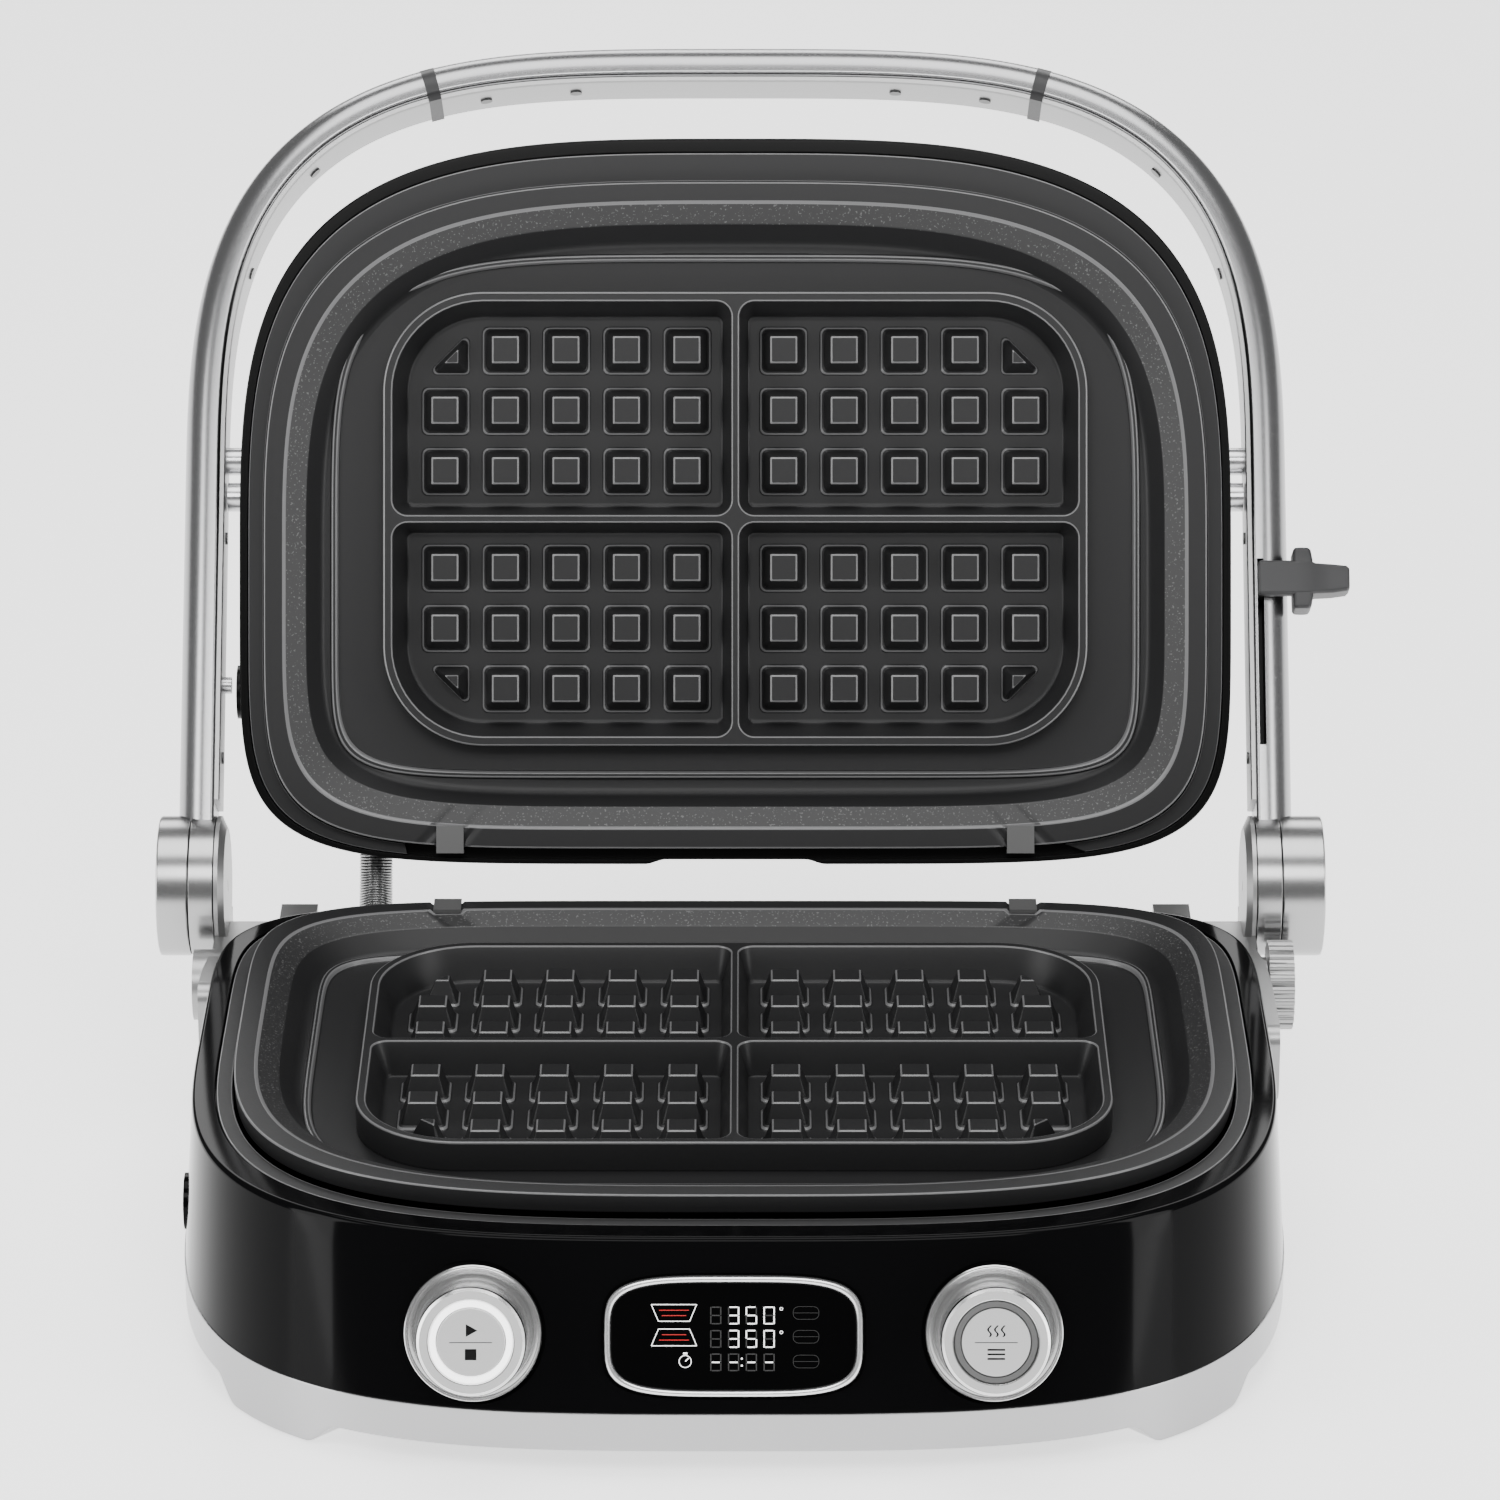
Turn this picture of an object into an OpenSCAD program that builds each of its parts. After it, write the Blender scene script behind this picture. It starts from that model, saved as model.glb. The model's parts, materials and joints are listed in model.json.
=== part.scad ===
// Waffle maker: a contact cooker with two removable waffle plates and a lid that opens to 180 degrees.
// Millimetres. +Z is up, the front is at -Y, and the feet stand on z = 0.
// The origin lies on the table, straight below the middle of the waffle mould.
// The lid, the handle and all that they carry are drawn closed, then turned open about the hinge axis.

/* [Base] */
// Half of the base's width at the silver band
base_half_w = 172; // [170:0.5:174]
// Depth of the base in front of its widest line, at the silver band
base_front = 159.6; // [157:0.2:162]
// Height of the silver band's upper edge
band_top = 21; // [19:0.5:23]
// Height of the black wall's upper edge
rim_z = 71.2; // [70.9:0.1:71.4]

/* [Lid] */
// Half of the lid's width
lid_half_w = 164.1; // [163:0.1:164.5]
// Depth of the lid in front of its widest line
lid_front = 139.4; // [137:0.2:141]
// Angle between the closed lid and the resting, open lid
open_angle = 112.2; // [95:0.1:118]
// Height of the lid's side wall
lid_wall_h = 33; // [31:0.5:35]

/* [Plates] */
// Width of the waffle mould
mould_w = 232.6; // [228:0.2:234]
// Depth of the waffle mould
mould_d = 149.9; // [148:0.1:151]
// Distance between the middles of two neighbouring waffle pegs
peg_pitch = 20; // [19.6:0.1:20.1]
// Height of a waffle peg
peg_h = 8; // [6:0.5:8]
// Space between the two plates' rims when the lid is closed
plate_gap = 3; // [3:0.1:4]

/* [Handle] */
// Half of the handle's width over the arms
bow_half_w = 183.6; // [183.2:0.1:184.4]
// Reach of the handle from the hinge axis
bow_reach = 288.3; // [280:0.1:289]
// Angle by which the handle stands above the closed lid
bow_lean = 12.5; // [12:0.1:13]
// Travel of the height lever along its slot
lever_travel = 48; // [40:1:50]

/* [Controls] */
// Distance of each knob from the middle of the front
knob_x = 77.1; // [74:0.1:80]
// Radius of a knob's cap
knob_r = 16.3; // [15.5:0.1:17]
// Length of a knob's cap
knob_len = 15; // [12:0.5:16]
// Width of the display's frame
display_w = 76.5; // [70:0.5:78]
// Height of the display's frame
display_h = 36; // [32:0.5:37]

/* [Hidden] */

// Plan outlines: a superellipse, rounder in front and squarer behind its widest line
plan_y = 13.3;
front_power = 3.37;
rear_power = 6;
plan_steps = 72;
base_rear = 105.7;
rim_half_w = base_half_w - 3.5;
rim_front = base_front - 15.8;
rim_rear = base_rear - 2;
lid_rear = 100.8;
plate_half_w = 155.7;
plate_front = 124.5;
plate_rear = 95.5;
ring_half_w = 161.1;
ring_front = 134.5;
ring_rear = 99;
ring_gap_x = 108;
ring_gap = 0.5;
ring_w = 4.9;
ledge_in = ring_w + ring_gap;

// Heights
part_z = 76;
lid_z = part_z + plate_gap;
hinge_y = 121;
hinge_z = part_z;
wall = 2.5;
slack = 0.2;
ring_top = part_z - 5.3;
ring_h = 3.6;
ledge_h = 2.4;
lid_rim_z = lid_z + 5.3;
lid_top_z = lid_rim_z + lid_wall_h;
lid_dome_h = 8;

// Feet and band
band_wall = 3;
band_low = 8.5;
foot_low = 1.2;
foot_depth = 16;
foot_gap_x = 128.5;
foot_slope = 9.6;
foot_front_y = -104;
foot_rear_y = 95;
pad_r = 4.5;
pad_h = 3;
front_pad = [135.5, -110];
rear_pad = [146, 102];
screw_r = 1.6;
screw_fit = 0.05;
screw_head_r = 3;
screw_head_h = 1.6;
screw_in = 9;
boss_r = 4;
front_screw = [110, -111];
rear_screw = [100, 109];
cover_t = 2.5;

// Hinge
barrel_r = 23;
pin_r = 6;
pin_fit = 0.05;
knuckle_in = 169;
knuckle_out = 170.3;
knuckle_dome = 1.8;
hub_in = 170.6;
hub_out = 178.6;
cap_left_out = 189.2;
cap_right_out = 192.8;
bracket_top = 67.2;
bracket_low = 34;
bracket_wrap = 3.6;
bracket_left_y = 58;
bracket_right_y = 25;
bracket_from_x = 138;
bracket_block_y = 90;
bracket_rear_y = 126;
neck_w = 34;
lid_clear_x = 150;
lever_y = 86;
lever_z = 56;
lever_r = 13.6;
lever_in = 173.4;
lever_out = 181.4;
lever_boss_r = 9;
lever_stub_r = 4;
stub_out = 176.2;
stub_r = 11.5;
scallops = 22;
scallop_r = 1.3;

// Handle
bow_turn_r = 139.3;
bow_side_power = 3.65;
bow_top_power = 3;
tube_t = 12.2;
tube_d = 24;
strip_t = 1.6;
strip_d = 20;
arm_start = 14;
strip_start = 27;
ring_angle = 67.4;
ring_step = 0.9;
pivot_r = 144.5;
pivot_pin_r = 4.6;
stop_r = 132.2;
stop_pin_r = 4.8;
stop_shank_r = 3;
stud_reach = 67.7;
stud_r = 2.8;
lever_reach = 100.6;
slot_spare = 7.6;
slot_low = lever_reach - lever_travel - slot_spare;
slot_high = lever_reach + slot_spare;
slot_x = 172.8;
slot_w = 2.2;

screw_reaches = [43, 118];
screw_turns = [22, 44, 74, 83];
strip_screw_r = 1.2;
strip_head_r = 2;
strip_head_h = 0.6;
shank_in = 4;
arm_cut_x = 160;

// Sections of the handle, as [outwards, across]: a domed tube and the flat strip on its inner face
tube_section = concat(
    [[0, -tube_d / 2 + 1.5]],
    [for (a = [-80:16:80]) [tube_t * pow(cos(a), 0.8), tube_d / 2 * sin(a) / sin(80)]],
    [[0, tube_d / 2 - 1.5]]
);
strip_section = [
    [-strip_t, -strip_d / 2 + 1], [0, -strip_d / 2],
    [0, strip_d / 2], [-strip_t, strip_d / 2 - 1]
];

// Controls
seat_drop = 1.5;
seat_r = 23.6;
skirt_r = 20.4;
skirt_h = 3.4;
cap_clear = 0.6;
cap_low = skirt_h + cap_clear;
cap_high = cap_low + knob_len;
stem_r = 3;
button_r = 10.1;
button_pocket_r = 10.4;
light_r = 12.2;
button_h = 3;
button_pocket = 5;
panel_span = rim_z - band_top;
panel_lean = atan((base_front - rim_front) / panel_span);
knob_drop = 29.5;
display_drop = 29.2;
display_frame = 1.8;
display_power = 4;
release_y = -25;
release_z = 32;
release_r = 8.9;
release_in = 0.7;
upper_release_y = 57;
upper_release_z = 100;

// Plate
plate_lip = 7;
plate_lip_h = 2.8;
floor_z = -9.8;
floor_t = 2.8;
pocket_z = -11;
pocket_t = 3;
mould_wall = 3.4;
mould_corner = 33;
divider_w = 3.2;
peg_base = 15.8;
peg_top = 8.6;
peg_first = 16;
peg_columns = 5;
peg_rows = 3;
ridge_half_w = 134.2;
ridge_front = 101.4;
ridge_rear = 72.6;
ridge_h = 1.6;
ridge_w = 2.9;
clip_x = 94.2;
clip_w = 9;
clip_notch = 10.6;

// Behind the plates
element_drop = 18.2;
element_x = 84;
element_y = 52;
element_r = 3.3;
pan_drop = 25;
pan_half_w = 142;
pan_front = 111;
pan_rear = 80;
pan_h = 8;
pan_t = 0.8;
post_x = 115;
post_front_y = -45;
post_rear_y = 60;
post_r = 3;
cover_sheet = 1.6;
board_x = 10;
board_y = -10;
board_z = 20;
board_w = 96;
board_d = 70;

// Conduit
conduit_x = -120;
conduit_r = 5.6;
conduit_bend = 30;
conduit_wall = 1.4;
conduit_tail = 4;
conduit_turn = conduit_bend + conduit_tail / tan((180 - open_angle) / 2);
gland_r = 6.8;
cord_x = -60;
cord_z = 40;
cord_hole_r = 7.5;

silver = [0.78, 0.78, 0.78];
black = [0.05, 0.05, 0.05];
grey = [0.26, 0.26, 0.27];
steel = [0.62, 0.62, 0.64];

$fn = 48;

// One corner of a superellipse, between 0 and 1
function bend(v, power) = sign(v) * pow(abs(v), 2 / power);

// Plan outline with half width a, front depth f and rear depth r
function plan(a, f, r) = [
    for (i = [0:plan_steps - 1])
        let (
            t = 360 * i / plan_steps,
            power = sin(t) < 0 ? front_power : rear_power,
            b = sin(t) < 0 ? f : r
        )
        [a * bend(cos(t), power), plan_y + b * bend(sin(t), power)]
];

// How far the front outline still reaches forward at x, from 0 to 1
function reach_at(x, a) = pow(1 - pow(abs(x) / a, front_power), 1 / front_power);

module slab(a, f, r, low, high) {
    translate([0, 0, low]) linear_extrude(high - low) polygon(plan(a, f, r));
}

module ring_slab(a, f, r, inset, low, high) {
    difference() {
        slab(a, f, r, low, high);
        slab(a - inset, f - inset, r - inset, low - 1, high + 1);
    }
}

module both_sides() {
    children();
    mirror([1, 0, 0]) children();
}

// Turns a part that is drawn closed to the open rest pose
module opened() {
    translate([0, hinge_y, hinge_z]) rotate([-open_angle, 0, 0])
        translate([0, -hinge_y, -hinge_z]) children();
}

// The handle's own frame: x along the hinge, -y away from it, z up from the closed handle
module bow() {
    translate([0, hinge_y, hinge_z]) rotate([-open_angle - bow_lean, 0, 0]) children();
}

module bar_x(x0, x1, r) {
    translate([x0, 0, 0]) rotate([0, 90, 0]) cylinder(h = x1 - x0, r = r);
}

// A place on the sloping front wall, z pointing straight out of it
module on_panel(x, drop) {
    y0 = plan_y - rim_front * reach_at(x, rim_half_w);
    translate([x, y0 - drop * sin(panel_lean), rim_z - drop * cos(panel_lean)])
        rotate([90 - panel_lean, 0, 0]) children();
}

module squircle_2d(w, h, power) {
    polygon([for (i = [0:63]) [w / 2 * bend(cos(i * 5.625), power), h / 2 * bend(sin(i * 5.625), power)]]);
}

module round_rect(w, d, r) {
    square([w - 2 * r, d], center = true);
    square([w, d - 2 * r], center = true);
    for (sx = [-1, 1], sy = [-1, 1])
        translate([sx * (w / 2 - r), sy * (d / 2 - r)]) circle(r);
}

module tapered(a0, f0, r0, z0, a1, f1, r1, z1) {
    hull() {
        slab(a0, f0, r0, z0, z0 + 0.01);
        slab(a1, f1, r1, z1 - 0.01, z1);
    }
}

// ---------- base ----------

module base_housing() {
    color(black) difference() {
        union() {
            difference() {
                tapered(base_half_w, base_front, base_rear, band_top, rim_half_w, rim_front, rim_rear, rim_z);
                tapered(
                    base_half_w - wall, base_front - wall, base_rear - wall, band_top - 0.01,
                    rim_half_w - wall, rim_front - wall, rim_rear - wall, rim_z - wall
                );
                slab(ring_half_w + slack, ring_front + slack, ring_rear + slack, rim_z - wall - 1, rim_z + 1);
            }
            ring_slab(rim_half_w - 0.6, rim_front - 0.6, rim_rear - 0.6, 10.6,
                ring_top - ring_h - ledge_h, ring_top - ring_h);
            for (side = [-1, 1])
                on_panel(side * knob_x, knob_drop)
                    translate([0, 0, -seat_drop - 4]) cylinder(h = 4, r = seat_r - 1);
            at_screws() translate([0, 0, band_low + cover_t])
                cylinder(h = ring_top - ring_h - ledge_h / 2 - band_low - cover_t, r = boss_r);
        }
        at_screws() cylinder(h = band_low + screw_in + 1, r = screw_r);
        for (side = [-1, 1])
            on_panel(side * knob_x, knob_drop) {
                translate([0, 0, -seat_drop]) cylinder(h = 12, r = seat_r);
                translate([0, 0, -12]) cylinder(h = 12, r = 4.6);
            }
        on_panel(0, display_drop) {
            translate([0, 0, -1.9]) linear_extrude(10)
                squircle_2d(display_w + 0.4, display_h + 0.4, display_power);
            translate([0, 0, -8]) linear_extrude(10)
                squircle_2d(display_w - 8, display_h - 8, display_power);
        }
        translate([0, release_y, release_z]) bar_x(-base_half_w - 5, -base_half_w + 9, release_r + 0.3);
        translate([conduit_x, 100, hinge_z - conduit_bend]) rotate([-90, 0, 0])
            cylinder(h = 30, r = gland_r + 0.2);
        translate([cord_x, 100, cord_z]) rotate([-90, 0, 0]) cylinder(h = 30, r = cord_hole_r);
    }
}

module foot_gaps() {
    translate([0, 300, 0]) rotate([90, 0, 0]) linear_extrude(600)
        polygon([
            [-foot_gap_x, -1], [foot_gap_x, -1],
            [foot_gap_x - foot_slope, band_low], [foot_slope - foot_gap_x, band_low]
        ]);
    translate([-300, 0, 0]) rotate([90, 0, 90]) linear_extrude(600)
        polygon([
            [foot_front_y, -1], [foot_rear_y, -1],
            [foot_rear_y - foot_slope, band_low], [foot_front_y + foot_slope, band_low]
        ]);
}

module at_pads() {
    both_sides() {
        translate(front_pad) children();
        translate(rear_pad) children();
    }
}

module base_band() {
    color(silver) difference() {
        union() {
            ring_slab(base_half_w, base_front, base_rear, band_wall, foot_low, band_top);
            ring_slab(base_half_w, base_front, base_rear, foot_depth, foot_low, band_low);
        }
        foot_gaps();
        at_pads() cylinder(h = pad_h, r = pad_r);
    }
}

module bottom_cover() {
    inset = band_wall + 0.3;
    color(black) difference() {
        slab(base_half_w - inset, base_front - inset, base_rear - inset, band_low, band_low + cover_t);
        for (x = [-60:12:60])
            translate([x, 30, 0]) linear_extrude(20) round_rect(5, 46, 2.4);
        at_screws() cylinder(h = 20, r = screw_r);
    }
}

module at_screws() {
    both_sides() {
        translate(front_screw) children();
        translate(rear_screw) children();
    }
}

module base_screws() {
    color(steel) at_screws() {
        translate([0, 0, band_low - screw_head_h]) cylinder(h = screw_head_h, r = screw_head_r);
        translate([0, 0, band_low]) cylinder(h = screw_in, r = screw_r - screw_fit);
    }
}

module at_posts() {
    both_sides() {
        translate([post_x, post_front_y]) children();
        translate([post_x, post_rear_y]) children();
    }
}

// A spacer between two sheets, with the screw that clamps the upper one
module post(low, high) {
    translate([0, 0, low]) cylinder(h = high - low, r = post_r);
    translate([0, 0, high - 1]) cylinder(h = 1 + pan_t, r = screw_r - screw_fit);
    translate([0, 0, high + pan_t]) cylinder(h = screw_head_h, r = screw_head_r);
}

module base_posts() {
    color(steel) {
        at_posts() post(band_low + cover_t, part_z - pan_drop);
        for (x = [4, board_w - 4], y = [4, board_d - 4])
            translate([board_x + x, board_y + y, band_low + cover_t])
                cylinder(h = board_z - band_low - cover_t, r = 2.5);
    }
}

module foot_pads() {
    color(black) at_pads() cylinder(h = pad_h, r = pad_r);
}

module lower_ring() {
    color(grey) difference() {
        ring_slab(ring_half_w, ring_front, ring_rear, ring_w, ring_top - ring_h, ring_top);
        slab(plate_half_w + ring_gap, plate_front, plate_rear + ring_gap, 0, part_z);
        translate([-ring_gap_x, 60, 0]) cube([2 * ring_gap_x, 100, 200]);
    }
}

// A waffle peg: four sloping sides and a flat top
module peg() {
    b = peg_base / 2;
    t = peg_top / 2;
    frustum([[-b, -b], [b, -b], [b, b], [-b, b]], [[-t, -t], [t, -t], [t, t], [-t, t]]);
}

// The peg in a corner of the mould, cut to a triangle along its outer diagonal
module corner_peg() {
    b = peg_base / 2;
    t = peg_top / 2;
    leg = peg_base - 1.4;
    top_leg = 4.3;
    frustum([[-b, -b], [leg - b, -b], [-b, leg - b]], [[-t, -t], [top_leg - t, -t], [-t, top_leg - t]]);
}

module frustum(base, top) {
    n = len(base);
    polyhedron(
        points = concat([for (p = base) [p[0], p[1], 0]], [for (p = top) [p[0], p[1], peg_h]]),
        faces = concat(
            [[for (i = [0:n - 1]) i]],
            [[for (i = [n - 1:-1:0]) n + i]],
            [for (i = [0:n - 1]) [i, n + i, n + (i + 1) % n, (i + 1) % n]]
        )
    );
}

// One waffle plate, mould upwards, with its rims at z = 0
module plate() {
    inner_w = mould_w - 2 * mould_wall;
    inner_d = mould_d - 2 * mould_wall;
    lip_in = plate_lip - 2;
    difference() {
        union() {
            ring_slab(plate_half_w, plate_front, plate_rear, 2.4, -6, 0);
            ring_slab(plate_half_w, plate_front, plate_rear, plate_lip, -plate_lip_h, 0);
            ring_slab(plate_half_w - lip_in, plate_front - lip_in, plate_rear - lip_in,
                3, floor_z - floor_t, -plate_lip_h + 0.5);
            slab(plate_half_w - lip_in, plate_front - lip_in, plate_rear - lip_in, floor_z - floor_t, floor_z);
            ring_slab(ridge_half_w, ridge_front, ridge_rear, ridge_w, floor_z - 0.5, floor_z + ridge_h);
            translate([0, 0, pocket_z - pocket_t]) linear_extrude(-pocket_z + pocket_t)
                round_rect(mould_w, mould_d, mould_corner);
        }
        difference() {
            translate([0, 0, pocket_z]) linear_extrude(20)
                round_rect(inner_w, inner_d, mould_corner - mould_wall);
            translate([-mould_w / 2, -divider_w / 2, -20]) cube([mould_w, divider_w, 20]);
            translate([-divider_w / 2, -mould_d / 2, -20]) cube([divider_w, mould_d, 20]);
        }
        for (side = [-1, 1])
            translate([side * clip_x - clip_notch / 2, plan_y + plate_rear - 8, -1.6])
                cube([clip_notch, 20, 10]);
    }
    for (mx = [0, 1], my = [0, 1], i = [0:peg_columns - 1], j = [0:peg_rows - 1])
        mirror([mx, 0, 0]) mirror([0, my, 0])
            translate([peg_first + peg_pitch * i, peg_first + peg_pitch * j, pocket_z])
                if (i == peg_columns - 1 && j == peg_rows - 1) corner_peg();
                else peg();
}

module lower_plate() {
    color(grey) translate([0, 0, part_z]) plate();
}

// The heater: a tube bent into one long loop, with both ends turned down
module element() {
    x = element_x;
    y = element_y;
    bend_r = 14;
    tube = element_r;
    end_y = 12;
    for (sy = [-1, 1])
        translate([0, sy * y, 0]) bar_x(-x, x, tube);
    for (sx = [-1, 1], sy = [-1, 1])
        translate([sx * x, sy * (y - bend_r), 0]) rotate([0, 0, sx > 0 ? (sy > 0 ? 0 : -90) : (sy > 0 ? 90 : 180)])
            rotate_extrude(angle = 90) translate([bend_r, 0]) circle(tube);
    for (sy = [-1, 1])
        translate([x + bend_r, 0, 0]) rotate([90, 0, 0])
            translate([0, 0, sy > 0 ? 0 : -(y - bend_r)]) cylinder(h = y - bend_r, r = tube);
    for (sy = [-1, 1])
        translate([-x - bend_r, sy * end_y, 0]) rotate([sy > 0 ? -90 : 90, 0, 0])
            cylinder(h = y - bend_r - end_y, r = tube);
}

module lower_element() {
    color(steel) translate([0, 0, part_z - element_drop]) element();
}

// Sheet-metal pan between the heater and the housing
module reflector_pan() {
    saddle = pan_drop - element_drop - element_r - pan_t;
    difference() {
        slab(pan_half_w, pan_front, pan_rear, 0, pan_h);
        slab(pan_half_w - 1, pan_front - 1, pan_rear - 1, pan_t, 20);
        at_posts() translate([0, 0, -1]) cylinder(h = 5, r = screw_r);
    }
    for (sx = [-1, 1], sy = [-1, 1])
        translate([sx * 60 - 3, sy * element_y - 4, pan_t]) cube([6, 8, saddle]);
}

module lower_reflector() {
    color(silver) translate([0, 0, part_z - pan_drop]) reflector_pan();
}

// Two spring clips that hold the plate's rear edge
module clips() {
    leg_low = ring_top - ring_h - part_z;
    for (side = [-1, 1])
        translate([side * clip_x - clip_w / 2, plan_y + plate_rear, 0]) {
            translate([0, -7.4, -1.3]) cube([clip_w, 9, 1.2]);
            translate([0, 0.5, leg_low]) cube([clip_w, 1.1, -1.2 - leg_low]);
        }
}

module lower_clips() {
    color(steel) translate([0, 0, part_z]) clips();
}

module lower_sensor() {
    color(steel) translate([30, 20, part_z - 20.6]) {
        cylinder(h = 6.5, r = 5);
        translate([0, 0, -3.5]) cylinder(h = 3.6, r = 2);
    }
}

// Side outline of the corner casting, y across and z up: a long rail above a taller block at the back
module bracket_side(from_y) {
    end_y = bracket_rear_y + 6;
    rail_h = 26;
    block_w = 52;
    translate([(from_y + end_y) / 2, bracket_top - rail_h / 2]) round_rect(end_y - from_y, rail_h, 6);
    translate([end_y - block_w / 2, (bracket_low + bracket_top) / 2])
        round_rect(block_w, bracket_top - bracket_low, 9);
}

// Corner casting that carries a hinge pin, drawn for the right side
module bracket(from_y, boss_r, boss_out) {
    wrap = bracket_wrap;
    difference() {
        union() {
            intersection() {
                union() {
                    slab(rim_half_w + wrap + 1, rim_front + wrap, rim_rear + wrap + 2, bracket_low, bracket_top);
                    translate([bracket_from_x, bracket_block_y, bracket_low])
                        cube([knuckle_out - bracket_from_x, bracket_rear_y - bracket_block_y, 100]);
                }
                translate([bracket_from_x, 0, 0]) rotate([90, 0, 90]) linear_extrude(100) bracket_side(from_y);
            }
            translate([knuckle_in - knuckle_dome, 0, 0]) rotate([90, 0, 90])
                linear_extrude(knuckle_out - knuckle_in + knuckle_dome)
                    translate([hinge_y - 1, hinge_z - 18]) round_rect(neck_w, 36, 8);
            translate([0, hinge_y, hinge_z]) bar_x(knuckle_in - knuckle_dome, knuckle_out, barrel_r);
            translate([0, lever_y, lever_z]) bar_x(160, boss_out, boss_r);
        }
        tapered(base_half_w + 0.15, base_front + 0.15, base_rear + 0.15, band_top,
            rim_half_w + 0.15, rim_front + 0.15, rim_rear + 0.15, rim_z);
        translate([0, hinge_y, hinge_z]) {
            bar_x(lid_clear_x, 200, pin_r);
            difference() {
                bar_x(lid_clear_x, knuckle_in, barrel_r + 0.5);
                translate([knuckle_in - knuckle_dome, 0, 0]) rotate([0, 90, 0])
                    cylinder(h = knuckle_dome + 1, r1 = barrel_r - 4, r2 = barrel_r + 2);
                translate([lid_clear_x, -30, -60]) cube([30, 60, 45]);
            }
        }
    }
}

module hinge_bracket_right() {
    color(silver) {
        bracket(bracket_right_y, lever_boss_r, lever_in - 0.4);
        translate([0, lever_y, lever_z]) bar_x(lever_in - 0.5, lever_out - 1, lever_stub_r);
    }
}

module hinge_bracket_left() {
    color(silver) mirror([1, 0, 0]) bracket(bracket_left_y, stub_r, stub_out);
}

module hinge_pins() {
    color(steel) both_sides() translate([0, hinge_y, hinge_z]) difference() {
        bar_x(knuckle_in - knuckle_dome, hub_out - 0.2, pin_r);
        translate([knuckle_in - knuckle_dome - 1, -0.5, -2]) cube([2, 1, 4]);
    }
}

module release_lever() {
    color(silver) translate([0, lever_y, lever_z]) difference() {
        union() {
            bar_x(lever_in, lever_out, lever_r);
            for (i = [0:scallops - 1])
                rotate([i * 360 / scallops, 0, 0]) translate([0, lever_r - 0.3, 0])
                    bar_x(lever_in, lever_out, scallop_r);
        }
        bar_x(lever_in - 1, lever_out - 0.7, lever_stub_r + pin_fit);
    }
}

module cord_inlet() {
    back = plan_y + base_rear;
    color(black) translate([cord_x, 0, cord_z]) rotate([-90, 0, 0]) difference() {
        union() {
            translate([0, 0, back + 0.3]) cylinder(h = 3, r = 10);
            translate([0, 0, back - 8]) cylinder(h = 8.4, r = cord_hole_r - 0.3);
        }
        cylinder(h = 300, r = 4);
    }
}

// Sleeve that the conduit leaves through, from one depth to another
module gland(from_y, to_y) {
    rotate([-90, 0, 0]) difference() {
        translate([0, 0, from_y]) cylinder(h = to_y - from_y, r = gland_r);
        cylinder(h = 300, r = conduit_r - conduit_wall);
    }
}

module conduit_gland_base() {
    color(steel) translate([conduit_x, 0, hinge_z - conduit_bend])
        gland(106, hinge_y - conduit_tail);
}

module conduit_gland_lid() {
    color(steel) opened() translate([conduit_x, 0, hinge_z + conduit_bend])
        gland(103, hinge_y - conduit_tail);
}

// Flexible metal tube that carries the lid's wires round the hinge, from one gland to the other
module conduit() {
    color(steel) translate([conduit_x, hinge_y - conduit_tail, hinge_z - conduit_bend + conduit_turn])
        rotate([90, 0, 90]) rotate([0, 0, -90])
            rotate_extrude(angle = 180 - open_angle) translate([conduit_turn, 0]) difference() {
                circle(conduit_r);
                circle(conduit_r - conduit_wall);
            }
}

module power_board() {
    color([0.1, 0.35, 0.2]) translate([board_x, board_y, board_z]) {
        cube([board_w, board_d, 1.6]);
        translate([8, 8, 1.6]) cube([20, 16, 15]);
        translate([34, 8, 1.6]) cube([20, 16, 15]);
        translate([12, 36, 1.6]) cube([28, 24, 18]);
        translate([64, 20, 1.6]) cylinder(h = 16, r = 6);
        translate([84, 20, 1.6]) cylinder(h = 16, r = 6);
    }
}

// ---------- controls ----------

module display_bezel() {
    color(silver) on_panel(0, display_drop) difference() {
        translate([0, 0, -1.85]) linear_extrude(3.1) squircle_2d(display_w, display_h, display_power);
        translate([0, 0, -5]) linear_extrude(10)
            squircle_2d(display_w - 2 * display_frame, display_h - 2 * display_frame, display_power);
    }
}

module display_lens() {
    gap = display_frame + 0.1;
    color(black) on_panel(0, display_drop) translate([0, 0, -1.85]) linear_extrude(2.4)
        squircle_2d(display_w - 2 * gap, display_h - 2 * gap, display_power);
}

module display_board() {
    color([0.1, 0.35, 0.2]) on_panel(0, display_drop) translate([-34, -17, -14]) cube([68, 34, 1.6]);
    color(grey) on_panel(0, display_drop) translate([-28, -12, -12.5]) cube([56, 24, 5]);
}

module knob_skirt() {
    difference() {
        union() {
            cylinder(h = skirt_h - 1.4, r = skirt_r);
            translate([0, 0, skirt_h - 1.4]) cylinder(h = 1.4, r1 = skirt_r, r2 = skirt_r - 1.4);
        }
        translate([0, 0, -1]) cylinder(h = 10, r = 4.6);
    }
}

module on_seat(side) {
    on_panel(side * knob_x, knob_drop) translate([0, 0, -seat_drop]) children();
}

module knob_skirts() {
    color(silver) for (side = [-1, 1])
        on_seat(side) knob_skirt();
}

module encoders() {
    color(grey) for (side = [-1, 1])
        on_seat(side) difference() {
            union() {
                translate([-7, -7, -12]) cube([14, 14, 7.5]);
                translate([0, 0, -5]) cylinder(h = 5 + skirt_h - 0.4, r = 4.5);
            }
            translate([0, 0, -10]) cylinder(h = 30, r = stem_r + pin_fit);
        }
}

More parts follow.
